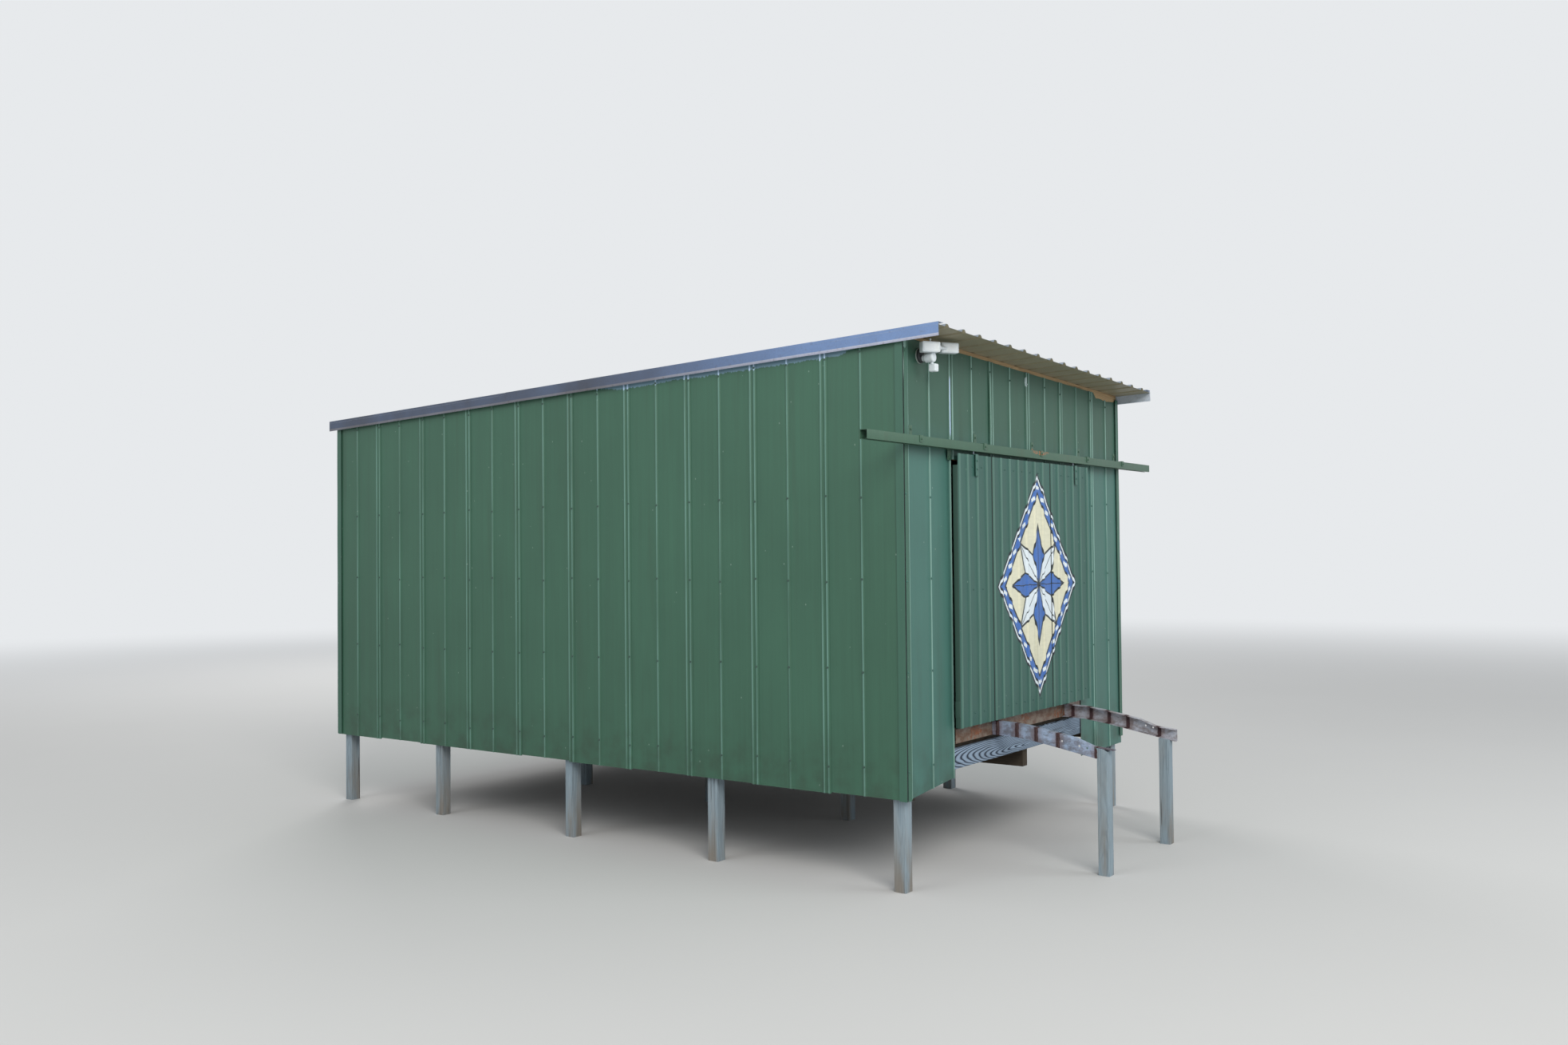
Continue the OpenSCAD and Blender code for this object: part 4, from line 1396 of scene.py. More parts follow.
@dataclass(frozen=True)
class CornerTrims:
    """Angles folded round the corners. The near one has split along its fold, and its top is torn."""

    leg: float = 0.048
    stand: float = 0.0125
    thickness: float = 0.0012
    fold: float = 0.004
    drop: float = 0.040
    split: float = 0.0150
    torn_at: float = 2.86
    tab_size: Pair = (0.036, 0.078)
    tab_drop: float = 0.030

    def split_corner(self, mesh: Mesh) -> None:
        """Adds the near corner's two legs, with an open seam between them.

        The front leg starts beside the fold by the seam's width, which swells by a bell curve near the top.
        A black strip lies deep in the seam as painted shade.

        Args:
            mesh: gathers the angles.
        """
        top = float(SITE.roof_under(SITE.x, SITE.y)) - self.drop
        level = np.linspace(SITE.sheet_bottom, top, 60)[:, None]
        share = np.linspace(0, 1, 7)
        past = level - SITE.sheet_bottom - self.torn_at
        wavy = 0.0012 * np.sin(13 * level) * np.sin(4.7 * level)
        start = self.split + wavy + 0.010 * np.exp(-(past / 0.07) ** 2) - self.stand
        front_x = SITE.x + start + share * (self.leg - start)
        front_y = SITE.y - self.stand - 0.0015 * (1 - share) * np.exp(-(past / 0.2) ** 2)
        side_x = SITE.x - self.stand + 0.0006 * np.sin(9 * level) * (1 - share)
        side_y = SITE.y - self.stand - self.thickness + share * (self.leg + self.stand)
        mesh.add_sheet(joined(front_x, front_y - self.thickness, level), joined(front_x, front_y, level))
        mesh.add_sheet(joined(side_x - self.thickness, side_y, level), joined(side_x, side_y, level))
        # Painted shade: a black strip deep in the open seam.
        deep = joined(SITE.x - 0.0105 + share * 0.0255, SITE.y - 0.0128 + 0.009 * share, level)
        mesh.add_sheet(deep + np.array([0.0, -0.0006, 0.0]), deep, 2)

    def torn_tab(self, finishes: Finishes) -> None:
        """Makes the tab of flashing that is folded down over the near corner's top.

        Its width shrinks to nothing at the foot by a quarter circle, and it bulges outwards as a sine.

        Args:
            finishes: the materials.
        """
        wide, tall = self.tab_size
        share = np.linspace(0, 1, 26)[:, None]
        across = np.linspace(-0.5, 0.5, 11)
        foot = np.clip((share - 0.62) / 0.38, 0, 1)
        x = SITE.x + 0.012 + across * wide * np.sqrt(np.clip(1 - 0.96 * foot ** 2, 0.02, 1))
        bulge = 0.006 * np.sin(np.pi * share) * (1 - (2 * across) ** 2) + 0.002 * share
        y = SITE.y - self.stand - self.thickness - 0.0015 - bulge
        z = float(SITE.roof_under(SITE.x, SITE.y)) - self.tab_drop - share * tall
        mesh = Mesh()
        # crest 0.9 gives the tab the crests' lighter paint: worn paint and a painted highlight.
        mesh.add_sheet(joined(x, y - 0.0008, z), joined(x, y, z), crest=0.9)
        settle(mesh.piece("corner_torn_tab", [finishes.front_paint, finishes.backer]), FIXED, "green_sheet")

    def section(self) -> Array:
        """An angle's section: points from one leg's edge round the fold to the other leg's edge.

        Returns:
            The points, in order.
        """
        reach = np.linspace(self.leg, -self.stand, 9)[:-1]
        leg = np.stack([reach, np.full(len(reach), -self.stand)], -1)
        bend = np.linspace(0, np.pi / 2, 5)[1:-1, None]
        arc = self.fold * (1 - np.concatenate([np.sin(bend), np.cos(bend)], 1)) - self.stand
        return np.concatenate([leg, arc, leg[::-1, ::-1]])

    def build(self, finishes: Finishes) -> None:
        """Makes the four angles.

        An angle's section is carried up, and it wavers by a few tenths of a millimetre with height.

        Args:
            finishes: the materials.
        """
        mesh = Mesh()
        self.split_corner(mesh)
        self.torn_tab(finishes)
        line, low = self.section(), SITE.sheet_bottom
        for across, back in ((1, 0), (0, 1), (1, 1)):
            corner = np.array([SITE.x + across * SITE.width, SITE.y + back * SITE.length])
            way = np.array([1 - 2 * across, 1 - 2 * back])
            top = float(SITE.roof_under(*corner)) - self.drop
            level = low + np.linspace(0, 1, 30)[:, None] * (top - low)
            waver = 0.00035 * np.sin(9.0 * level + 3.0 * across + 5.0 * back)
            sides = []
            for offset in (self.thickness, 0.0):
                grown = line - offset * (line < self.fold - self.stand)
                flat = corner + way * (grown - (line < 0) * waver[:, :, None])
                sides.append(joined(flat[..., 0], flat[..., 1], level))
            mesh.add_sheet(*sides)
        # The third finish is the black of the painted-shade strip in the near seam.
        piece = mesh.piece("corner_angles", [finishes.corner_paint, finishes.backer, finishes.black])
        settle(piece, FIXED, "green_sheet", "corner_trims")


@dataclass(frozen=True)
class Roof:
    """Ribbed roof sheets in panels lapped over a rib, with rake trims and screws."""

    side_eave: float = 0.038
    front_eave: float = 0.300
    rear_eave: float = 0.090
    pitch: float = 0.2286
    rib: Crimp = Crimp(0.019, 0.060, 0.026)
    thickness: float = 0.0010
    panel_ribs: int = 4
    panel_start: float = 0.036
    panel_end: float = 0.033
    panel_lift: float = 0.0012
    purlin_pitch: float = 0.61
    uneven: float = 0.003
    column_pitch: float = 0.06
    rows: int = 48
    screw_rows: int = 11
    screw_beside: float = 0.042
    screw_seat: float = 0.0012
    trim_screw_in: float = 0.045
    trim_h: float = 0.092
    trim_leg: float = 0.070
    trim_thick: float = 0.0009
    trim_lap: float = 0.03
    trim_rows: int = 44
    trim_joints: Pair = (1.02, 4.07)
    dents: tuple[Place, ...] = ((0.55, 0.002, 0.10), (1.9, 0.0015, 0.2), (3.2, 0.002, 0.08),
                                (4.6, 0.0022, 0.15), (5.7, 0.001, 0.3))

    @property
    def width(self) -> float:
        """Width of all sheets together."""
        return SITE.width + 2 * self.side_eave

    @property
    def length(self) -> float:
        """Length of a sheet, from the front eave to the rear."""
        return self.front_eave + SITE.length + self.rear_eave

    def rib_places(self) -> Array:
        """Distance of each rib's middle from the roof's left edge."""
        count = math.floor(self.width / self.pitch - 0.3)
        return (np.arange(count) + 0.5) * self.pitch

    def sheets(self, finishes: Finishes) -> None:
        """Makes the panels. Each lies over the last rib of the one before, with its front edge a little off.

        A panel's height over the roof's plane is the ribs' rise, the lap's lift, and a sag of the flats that
        repeats as a sine from purlin to purlin.

        Args:
            finishes: the materials.
        """
        mesh = Mesh()
        ribs = self.rib_places()
        for number, first in enumerate(range(0, len(ribs), self.panel_ribs)):
            last = min(first + self.panel_ribs, len(ribs) - 1)
            low = ribs[first] - self.panel_start if first else 0.0
            high = self.width if last == len(ribs) - 1 else ribs[last] + self.panel_end
            centres = ribs[first:last + 1]
            along = self.rib.columns(centres, low, high, self.column_pitch)
            rise = self.rib.rise(along, centres)
            crest = rise / self.rib.height
            over = np.clip((low + 0.075 - along) / 0.006, 0, 1) * (self.panel_lift if first else 0.0)
            step = self.uneven * math.sin(3.3 * number)
            share = np.linspace(0, 1, self.rows)[:, None]
            back = step - self.front_eave + share * (self.length - self.uneven - step)
            up = rise + over + 0.0003 * (1 + np.sin(2 * np.pi * back / self.purlin_pitch)) * (1 - crest)
            x = along - self.side_eave
            upper, under = SITE.on_roof(x, back, up + self.thickness), SITE.on_roof(x, back, up)
            mesh.add_sheet(upper, under, crest=crest)
        piece = mesh.piece("roof_ribbed_panels", [finishes.roof_zinc, finishes.roof_back])
        settle(piece, FIXED, "galvanised", "roof_sheets")

    def trim_line(self) -> Array:
        """A rake trim's section, as distance inwards and height: hem, down leg, round fold, top leg.

        Returns:
            The points, in order.
        """
        top = self.rib.height + self.panel_lift
        foot, radius = top - self.trim_h, 0.004
        hem = [[0.0030, foot + 0.012], [0.0026, foot + 0.003], [0.0012, foot], [0.0, foot + 0.002]]
        down = [[0.0, top - self.trim_h * share] for share in (0.8, 0.6, 0.4, 0.2)]
        arc = [[radius * (1 - math.cos(b)), top - radius * (1 - math.sin(b))]
               for b in np.linspace(0, np.pi / 2, 5)]
        flat = [[self.trim_leg * share, top] for share in (0.4, 0.7, 1.0)]
        return np.array(hem + down + arc + flat)

    def trim_length(self, number: int, edge: float, way: int) -> list[Array]:
        """Works out one length of a rake trim.

        The section is carried along the roof's edge. A dent is a bell curve along the edge that pushes the
        down leg in by up to two millimetres.

        Args:
            number: 0, 1 or 2, counted from the front.
            edge: the roof's edge, from its left corner.
            way: 1 or -1, the way inwards along the roof.

        Returns:
            The places of its outer and its inner surface.
        """
        joints = [0.0, *self.trim_joints, self.length]
        start = joints[number] - (self.trim_lap if number else 0.0)
        back = np.linspace(start, joints[number + 1], self.trim_rows)[:, None]
        inward, height = self.trim_line().T
        lap = self.trim_thick * (number % 2)
        low = np.clip((self.rib.height - height) / self.trim_h, 0, 1)
        push = low * (low > 0.05) * sum(deep * np.exp(-((back - place) / wide) ** 2)
                                        for place, deep, wide in self.dents)
        sides = []
        for thick in (0.0, self.trim_thick):
            x = edge + way * (inward - lap + push + thick * (inward < 0.003))
            up = height + lap - thick * (inward >= 0.003)
            sides.append(SITE.on_roof(x, back - self.front_eave, up))
        return sides

    def trims(self, finishes: Finishes) -> None:
        """Makes the two rake trims, each of three lengths that lap. The hem has a finish of its own.

        Args:
            finishes: the materials.
        """
        hem = np.tile(np.arange(len(self.trim_line()) - 1) < 4, self.trim_rows - 1)
        for side, edge, way in (("left", -self.side_eave, 1), ("right", SITE.width + self.side_eave, -1)):
            mesh = Mesh()
            for number in range(3):
                points, quads, slots = thin_solid(*self.trim_length(number, edge, way))
                slots[:len(hem)] = np.where(hem, 2, 0)
                mesh.add(points, quads, slots)
            piece = mesh.piece(side + "_rake_folded",
                               [finishes.sky_tinted_trim_zinc, finishes.lit_inner_zinc, finishes.hem_zinc], 50.0)
            settle(piece, FIXED, "galvanised", side + "_rake_trim")

    def screws(self, finishes: Finishes) -> None:
        """Screws on the flats beside the ribs along each purlin, and along the rake trims' top legs.

        Args:
            finishes: the materials.
        """
        spots = []
        for row, back in enumerate(np.linspace(0.02, SITE.length - 0.02, self.screw_rows)):
            for place in self.rib_places():
                spots.append(SITE.on_roof(place - self.side_eave + self.screw_beside,
                                          back + 0.006 * math.sin(9 * place + row),
                                          self.thickness + self.screw_seat))
        for edge, way in ((-self.side_eave, 1), (SITE.width + self.side_eave, -1)):
            for back in np.arange(-0.2, SITE.length, self.purlin_pitch):
                along = edge + way * self.trim_screw_in
                spots.append(SITE.on_roof(along, back, self.rib.height + self.screw_seat))
        out = tuple(SITE.on_roof(0.0, 0.0, 1.0) - SITE.on_roof(0.0, 0.0, 0.0))
        head = Nails("roof_screws", height=0.0046)
        head.drive(np.array(spots), out, finishes.roof_zinc, FIXED, "galvanised")

    def build(self, finishes: Finishes) -> None:
        """Makes the roof and reports it.

        Args:
            finishes: the materials.
        """
        self.sheets(finishes)
        self.trims(finishes)
        self.screws(finishes)


# Timber.


def islands(shape: Shape) -> list[list[bmesh.types.BMVert]]:
    """The separate solids of a mesh, as lists of their points.

    Args:
        shape: the mesh, whose points have been numbered.

    Returns:
        One list for each solid, found by walking along the edges.
    """
    seen: set[int] = set()
    groups = []
    for vertex in shape.verts:
        if vertex.index in seen:
            continue
        stack, group = [vertex], []
        seen.add(vertex.index)
        while stack:
            here = stack.pop()
            group.append(here)
            for edge in here.link_edges:
                other = edge.other_vert(here)
                if other.index not in seen:
                    seen.add(other.index)
                    stack.append(other)
        groups.append(group)
    return groups


def clean_copy(node: str) -> Shape:
    """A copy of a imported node's mesh, with its loose triangles merged into flat faces.

    Args:
        node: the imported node.

    Returns:
        The copy, which the caller frees.
    """
    shape = bmesh.new()
    shape.from_mesh(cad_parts[node].data)
    bmesh.ops.remove_doubles(shape, verts=shape.verts, dist=2e-5)
    bmesh.ops.dissolve_limit(shape, angle_limit=math.radians(0.5), verts=shape.verts, edges=shape.edges)
    return shape


def board_boxes(node: str) -> list[tuple[Array, Array]]:
    """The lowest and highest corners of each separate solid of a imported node.

    Args:
        node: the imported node.

    Returns:
        A pair of corners for each solid, sorted by the lowest corner.
    """
    shape = clean_copy(node)
    shape.verts.index_update()
    boxes = []
    for group in islands(shape):
        corners = np.array([v.co for v in group])
        boxes.append((corners.min(0), corners.max(0)))
    shape.free()
    return sorted(boxes, key=lambda b: tuple(np.round(b[0], 3)))


def grained_piece(name: str, shape: Shape, grain: Array,
                  finish: Material) -> bpy.types.Object:
    """Turns a worked shape into a piece that stores its boards' grain coordinates.

    Args:
        name: the piece's name.
        shape: the worked shape, which is freed.
        grain: each point's place along, across and through its board.
        finish: the piece's material.

    Returns:
        The new object, at the origin.
    """
    mesh = bpy.data.meshes.new(name)
    shape.to_mesh(mesh)
    shape.free()
    mesh.materials.append(finish)
    mesh.polygons.foreach_set("material_index", np.zeros(len(mesh.polygons), np.int32))
    store(mesh, "grain", grain)
    finish_shading(mesh, 35.0)
    return link_object(name, mesh)


def eased_copy(node: str, name: str, ease: float, finish: Material) -> bpy.types.Object:
    """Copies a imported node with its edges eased, and stores each board's own grain coordinates.

    A board's longest side is its grain's direction. Each board's grain is shifted by an amount of its own.

    Args:
        node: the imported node.
        name: the new piece's name.
        ease: width of the eased edges.
        finish: its material.

    Returns:
        The new object, at the origin.
    """
    shape = clean_copy(node)
    edges = [e for e in shape.edges if len(e.link_faces) == 2 and e.calc_face_angle(0.0) > math.radians(30)]
    bmesh.ops.bevel(shape, geom=edges, offset=ease, segments=2, profile=0.6, affect="EDGES",
                    clamp_overlap=True)
    shape.verts.index_update()
    grain = np.zeros((len(shape.verts), 3))
    for number, group in enumerate(islands(shape)):
        corners = np.array([v.co for v in group])
        low, high = corners.min(0), corners.max(0)
        long, wide, thin = np.argsort(-(high - low))
        local = corners - (low + high) / 2
        shift = 3.7 * (number + 1) + 0.31 * len(node)
        tilt = 0.02 * math.sin(5.0 * number + len(node))
        own = np.stack([local[:, long] + shift, local[:, wide] + tilt, local[:, thin]], -1)
        grain[[v.index for v in group]] = own
    return grained_piece(name, shape, grain, finish)


Heights = Callable[[Array, Array], Array]


@dataclass(frozen=True)
class SquarePost:
    """A weathered square post with eased corners and drying cracks that wander along its faces."""

    side: float
    cracks: int = 6
    rows: int = 64
    lip: float = 0.0035
    stations: tuple[float, ...] = (0.03, 0.14, 0.26, 0.38, 0.5, 0.62, 0.74, 0.86, 0.97)

    def outline(self, seed: int) -> tuple[Array, Array]:
        """Sets out the points of one ring.

        Each crack adds three points, its two lips and its bottom, and the plain points near it make room.

        Args:
            seed: sets the cracks.

        Returns:
            Shares of the way round, and for each the number of the crack whose bottom it is, or 0.
        """
        rng = np.random.default_rng(seed)
        plain = (np.arange(4)[:, None] + np.array(self.stations)).ravel() / 4
        middles = np.sort((rng.permutation(8)[:self.cracks] + rng.uniform(0.25, 0.75, self.cracks)) / 8)
        plain = plain[np.min(np.abs(plain[:, None] - middles[None, :]), 1) > 2.2 * self.lip]
        shares = np.concatenate([plain, middles - self.lip, middles + self.lip, middles])
        bottoms = np.arange(1, self.cracks + 1)
        crack = np.concatenate([np.zeros(len(shares) - self.cracks), bottoms])
        order = np.argsort(shares)
        return shares[order], crack[order]

    def ring(self, shares: Array) -> tuple[Array, Array]:
        """Walks round the post's square, from its front right corner.

        The corners are eased: a point there moves towards the middle by up to 3 in 100, by a square law.

        Args:
            shares: shares of the way round.

        Returns:
            The place and the inward direction at each share.
        """
        turn = shares * 4
        edge = np.floor(turn).astype(int) % 4
        along = (turn - np.floor(turn)) * 2 - 1
        half = self.side / 2
        way = np.array([[0, 1], [-1, 0], [0, -1], [1, 0]])[edge]
        outward = way[:, ::-1] * [1, -1]
        around = (outward + way * along[:, None]) * half
        corner = np.abs(around).min(1) / half
        pull = 1 - 0.03 * np.clip((corner - 0.93) / 0.07, 0, 1) ** 2
        return around * pull[:, None], -outward

    def surface(self, centre: Pair, top: Heights, seed: int) -> tuple[Array, Array, Array]:
        """Works out the post as rings carried upwards, closed by a fan at each end.

        The rings turn a little to and fro with height, as a sine, so the cracks wander. A crack's depth is a
        half sine between its two ends, raised to 0.6. The plain points are rough by a fine ripple.

        Args:
            centre: the post's middle.
            top: gives the height of the top at places x, y.
            seed: sets the cracks.

        Returns:
            Points, faces and grain coordinates.
        """
        rng = np.random.default_rng(seed + 100)
        shares, crack = self.outline(seed)
        share = np.linspace(0, 1, self.rows)[:, None]
        inward = self.ring(shares)[1]
        height = float(top(np.array(centre[0]), np.array(centre[1])))
        level = share * height
        sway = 0.0035 * np.sin(2.6 * level + rng.uniform(0, 6)) / (4 * self.side)
        around = np.stack([self.ring((shares + row) % 1.0)[0] for row in sway[:, 0]])
        depth = 0.0006 * ripple(shares * 30, level * 4, seed) * (crack == 0)
        for number in range(1, self.cracks + 1):
            start, end = np.sort(rng.uniform(-0.2, 1.25, 2))
            width = max(end - start, 0.35)
            swell = np.clip(np.sin(np.pi * np.clip((share - start) / width, 0, 1)), 0, 1) ** 0.6
            depth += np.where(crack == number, swell * rng.uniform(0.004, 0.011), 0)
        around = around + inward * depth[:, :, None]
        x, y = centre[0] + around[..., 0], centre[1] + around[..., 1]
        hubs = [[*centre, 0.0], [*centre, height]]
        points = np.concatenate([joined(x, y, share * top(x, y)).reshape(-1, 3), hubs])
        grain = np.stack([points[:, 2] + 2.3 * seed, points[:, 0] - centre[0] + 0.01 * math.sin(seed),
                          points[:, 1] - centre[1] - 0.012], -1)
        return points, closed_tube(self.rows, len(shares)), grain

    def add_to(self, mesh: Mesh, centre: Pair, top: Heights, seed: int) -> None:
        """Adds the post to a mesh, with its grain coordinates."""
        points, faces, grain = self.surface(centre, top, seed)
        mesh.add(points, faces, grain=grain)


@dataclass(frozen=True)
class Posts:
    """The posts under and in the building, and the two that hold the ramp rails."""

    roof_drop: float = 0.089
    ramp_seed: int = 41
    ramp_cracks: int = 7

    def row(self, number: int, node: str, finish: Material) -> None:
        """Makes one row of posts as one piece. The outer rows are cut along the roof, the middle one level.

        Args:
            number: the row's number, which sets its cracks.
            node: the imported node.
            finish: the posts' material.
        """
        mesh = Mesh()
        for k, (low, high) in enumerate(board_boxes(node)):
            level = float(high[2])

            def top(x: Array, y: Array) -> Array:
                """Height of the post's top at places x, y."""
                return level + 0 * x if node == "middle_posts" else SITE.roof_under(x, y) - self.roof_drop

            centre = (float(low[0] + high[0]) / 2, float(low[1] + high[1]) / 2)
            SquarePost(float(high[0] - low[0])).add_to(mesh, centre, top, 10 * number + k)
        piece = mesh.piece(node.replace("posts", "weathered_posts"), [finish])
        settle(piece, FIXED, "grey_timber", node)

    def ramp_post(self, node: str, slope: float, chip: float, seed: int, finish: Material) -> None:
        """Makes one of the posts that hold the rails.

        Args:
            node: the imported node.
            slope: how steeply its top falls to the front, with the rail.
            chip: depth of the chip at its front left corner.
            seed: sets its cracks.
            finish: its material.
        """
        low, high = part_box(node)
        centre = ((low.x + high.x) / 2, (low.y + high.y) / 2)

        def top(x: Array, y: Array) -> Array:
            """Height of the post's top at places x, y."""
            nick = chip * np.clip((low.y + 0.03 - y) / 0.03, 0, 1) * np.clip((centre[0] - x) / 0.04, 0, 1)
            return high.z - 0.001 - slope * (high.y - y) - nick

        mesh = Mesh()
        SquarePost(float(high.x - low.x), self.ramp_cracks).add_to(mesh, centre, top, seed)
        settle(mesh.piece(node + "_weathered", [finish]), FIXED, "grey_timber", node)

    def build(self, finishes: Finishes) -> None:
        """Makes the rows of posts and the ramp's posts, and reports them.

        Args:
            finishes: the materials.
        """
        for number, node in enumerate(("left_posts", "right_posts", "middle_posts")):
            self.row(number, node, finishes.grey_post)
        self.ramp_post("left_ramp_post", 0.10, 0.018, self.ramp_seed, finishes.grey_post)
        self.ramp_post("right_ramp_post", 0.12, 0.0, self.ramp_seed + 1, finishes.grey_post)


@dataclass(frozen=True)
class Boards:
    """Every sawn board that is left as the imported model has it, with eased edges and its own grain."""

    ease: float = 0.0025
    deck_ease: float = 0.003
    deck_width: float = 0.142
    deck_gap: float = 0.002
    deck_cup: float = 0.0004

    def table(self, finishes: Finishes) -> list[tuple[str, Material, str]]:
        """Node, finish and material slot of each group of boards.

        Args:
            finishes: the materials.

        Returns:
            One row for each group, in the order of making.
        """
        # These boards take the dark timber, which holds painted shade under the floor.
        dark = ("floor_joists", "left_girder", "right_girder", "middle_girder")
        inner = ("left_girts", "right_girts", "rear_girts", "front_girts", "door_jambs", "door_header",
                 "side_rafters", "middle_rafter", "end_beams")
        return [("front_rim_joist", finishes.grey_board, "grey_timber"),
                ("rim_joists", finishes.raw, "raw_timber"),
                *[(node, finishes.dark, "raw_timber") for node in dark],
                *[(node, finishes.inner, "inner_timber") for node in inner],
                ("purlins", finishes.eave, "raw_timber")]

    def deck(self, finishes: Finishes) -> None:
        """Lays the floor as separate boards across the joists, notched at the posts by leaving them short.

        Each board is a box with eased edges. Its width is the deck's length shared out evenly, less a gap.

        Args:
            finishes: the materials.
        """
        low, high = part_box("floor_deck")
        count = round((high.y - low.y) / self.deck_width)
        pitch = (high.y - low.y) / count
        gap, cup = self.deck_gap, self.deck_cup
        notches = [(a[1] - gap, b[1] + gap, b[0] + gap) for a, b in board_boxes("left_posts")]
        right = board_boxes("right_posts")[0][0][0] - gap
        shape = bmesh.new()
        middles = []
        for k in range(count):
            start, end = low.y + k * pitch + gap, low.y + (k + 1) * pitch - gap
            at_post = [edge for near, far, edge in notches if near < end and far > start]
            x0, x1 = (at_post[0], right) if at_post else (low.x, high.x)
            made = bmesh.ops.create_cube(shape, size=1.0)["verts"]
            lift = cup * math.sin(4.0 * k)
            middle = Vector(((x0 + x1) / 2, (start + end) / 2, (low.z + high.z) / 2 + lift - cup))
            size = Vector((x1 - x0, end - start, high.z - low.z - 0.001))
            for vertex in made:
                vertex.co = Vector(a * b for a, b in zip(vertex.co, size)) + middle
            middles.append(middle)
        bmesh.ops.bevel(shape, geom=shape.edges[:], offset=self.deck_ease, segments=2, profile=0.6,
                        affect="EDGES")
        points = np.array([v.co for v in shape.verts])
        row = np.clip(((points[:, 1] - low.y) / pitch).astype(int), 0, count - 1)
        grain = points - np.array(middles)[row]
        grain[:, 0] += 1.9 * row
        # The deck takes the dark timber: damp wood with painted shade.
        piece = grained_piece("deck_boards", shape, grain, finishes.dark)
        settle(piece, FIXED, "raw_timber", "floor_deck")

    def build(self, finishes: Finishes) -> None:
        """Makes the boards and reports them.

        Args:
            finishes: the materials.
        """
        for node, finish, slot in self.table(finishes):
            settle(eased_copy(node, node + "_sawn", self.ease, finish), FIXED, slot, node)
        self.deck(finishes)


# Steelwork.


@dataclass(frozen=True)
class RampRails:
    """The sill channel and the two rails, bent by cuts that were welded up again and have rusted."""

    left_kinks: tuple[float, ...] = (-0.055, -0.208, -0.357, -0.523, -0.808)
    right_kinks: tuple[float, ...] = (-0.084, -0.238, -0.388, -0.541, -0.791)
    left_end: float = -0.815
    ease: float = 0.0009
    bead: float = 0.0035
    bead_inset: float = 0.003
    bead_rows: int = 40
    bead_sides: int = 8

    def bead_mesh(self, mesh: Mesh, foot: Array, height: float, out: float, seed: float) -> None:
        """Adds one weld bead: a half-round rib up the web, with a ripple for each pass of the rod.

        Args:
            mesh: gathers the beads.
            foot: the bead's lower end on the web's face.
            height: its length.
            out: -1 or 1, the way the web's face looks along X.
            seed: sets the ripple.
        """
        share = np.linspace(0, 1, self.bead_rows)[:, None]
        turn = np.linspace(0, 2 * np.pi, self.bead_sides, endpoint=False)
        swell = self.bead * (1 + 0.22 * np.sin(88 * share + seed) + 0.1 * np.sin(31 * share + seed))
        swell = swell * np.clip(np.minimum(share, 1 - share) * 30 + 0.2, 0, 1)
        x = foot[0] + out * swell * 0.7 * np.cos(turn)
        y = foot[1] + swell * 1.5 * np.sin(turn) + 0.0015 * np.sin(9 * share + seed)
        points = joined(x, y, foot[2] + share * height).reshape(-1, 3)
        hubs = [foot, foot + np.array([0, 0, height])]
        mesh.add(np.concatenate([points, hubs]), closed_tube(self.bead_rows, self.bead_sides))

    def beads(self, node: str, kinks: tuple[float, ...], out: int, finish: Material) -> None:
        """Puts a bead at each kink of a rail, between the rail's two edges there.

        Args:
            node: the rail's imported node.
            kinks: places of its kinks, from the front wall.
            out: -1 or 1, the way the web's face looks along X.
            finish: the beads' material.
        """
        low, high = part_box(node)
        face = low.x if out < 0 else high.x
        points = np.array([v.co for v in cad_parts[node].data.vertices])
        edge = points[np.abs(points[:, 0] - face) < 0.001]
        mesh = Mesh()
        for number, kink in enumerate(kinks):
            y = SITE.y + kink
            top = np.interp(y, *self.profile(edge, True))
            bottom = np.interp(y, *self.profile(edge, False))
            foot = np.array([face, y, bottom + self.bead_inset])
            self.bead_mesh(mesh, foot, top - bottom - 2 * self.bead_inset, out, number + 0.5)
        settle(mesh.piece(node + "_welds", [finish]), FIXED, "rusty_steel")

    def profile(self, edge: Array, upper: bool) -> tuple[Array, Array]:
        """Finds the upper or lower edge of a rail's web.

        Args:
            edge: the points of the web's face.
            upper: True for the upper edge.

        Returns:
            Places along Y, in rising order, and the heights there.
        """
        along = np.unique(np.round(edge[:, 1], 3))
        pick = max if upper else min
        heights = np.array([pick(edge[np.abs(edge[:, 1] - p) < 0.002][:, 2]) for p in along])
        middle = np.interp(along, [along.min(), along.max()], [heights.min(), heights.max()])
        keep = heights > middle - 0.05 if upper else heights < middle + 0.05
        return along[keep], heights[keep]

    def build(self, finishes: Finishes) -> None:
        """Makes the sill, the rails and their weld beads.

        Args:
            finishes: the materials.
        """
        left = tuple(SITE.y + k for k in self.left_kinks)
        right = tuple(SITE.y + k for k in self.right_kinks)
        zinc_left = Zinc("left_rail_zinc", srgb(124, 128, 142), 0.08, 0.3, None, srgb(164, 182, 210), left,
                         end=SITE.y + self.left_end).make()
        zinc_right = Zinc("right_rail_zinc", srgb(136, 130, 132), 0.10, 0.2, None, srgb(182, 186, 198),
                          right).make()
        sill = Zinc("sill_rust", srgb(92, 64, 46), 0.30, 0.15, None, srgb(120, 108, 96)).make()
        bead = Zinc("weld_rust", srgb(58, 40, 40), 0.05, 0.1, None, srgb(76, 52, 50)).make()
        for node, finish, slot in (("left_ramp_rail", zinc_left, "galvanised"),
                                   ("right_ramp_rail", zinc_right, "galvanised"),
                                   ("sill_channel", sill, "rusty_steel")):
            settle(eased_copy(node, node + "_worn", self.ease, finish), FIXED, slot, node)
        self.beads("left_ramp_rail", self.left_kinks, -1, bead)
        self.beads("right_ramp_rail", self.right_kinks, 1, bead)


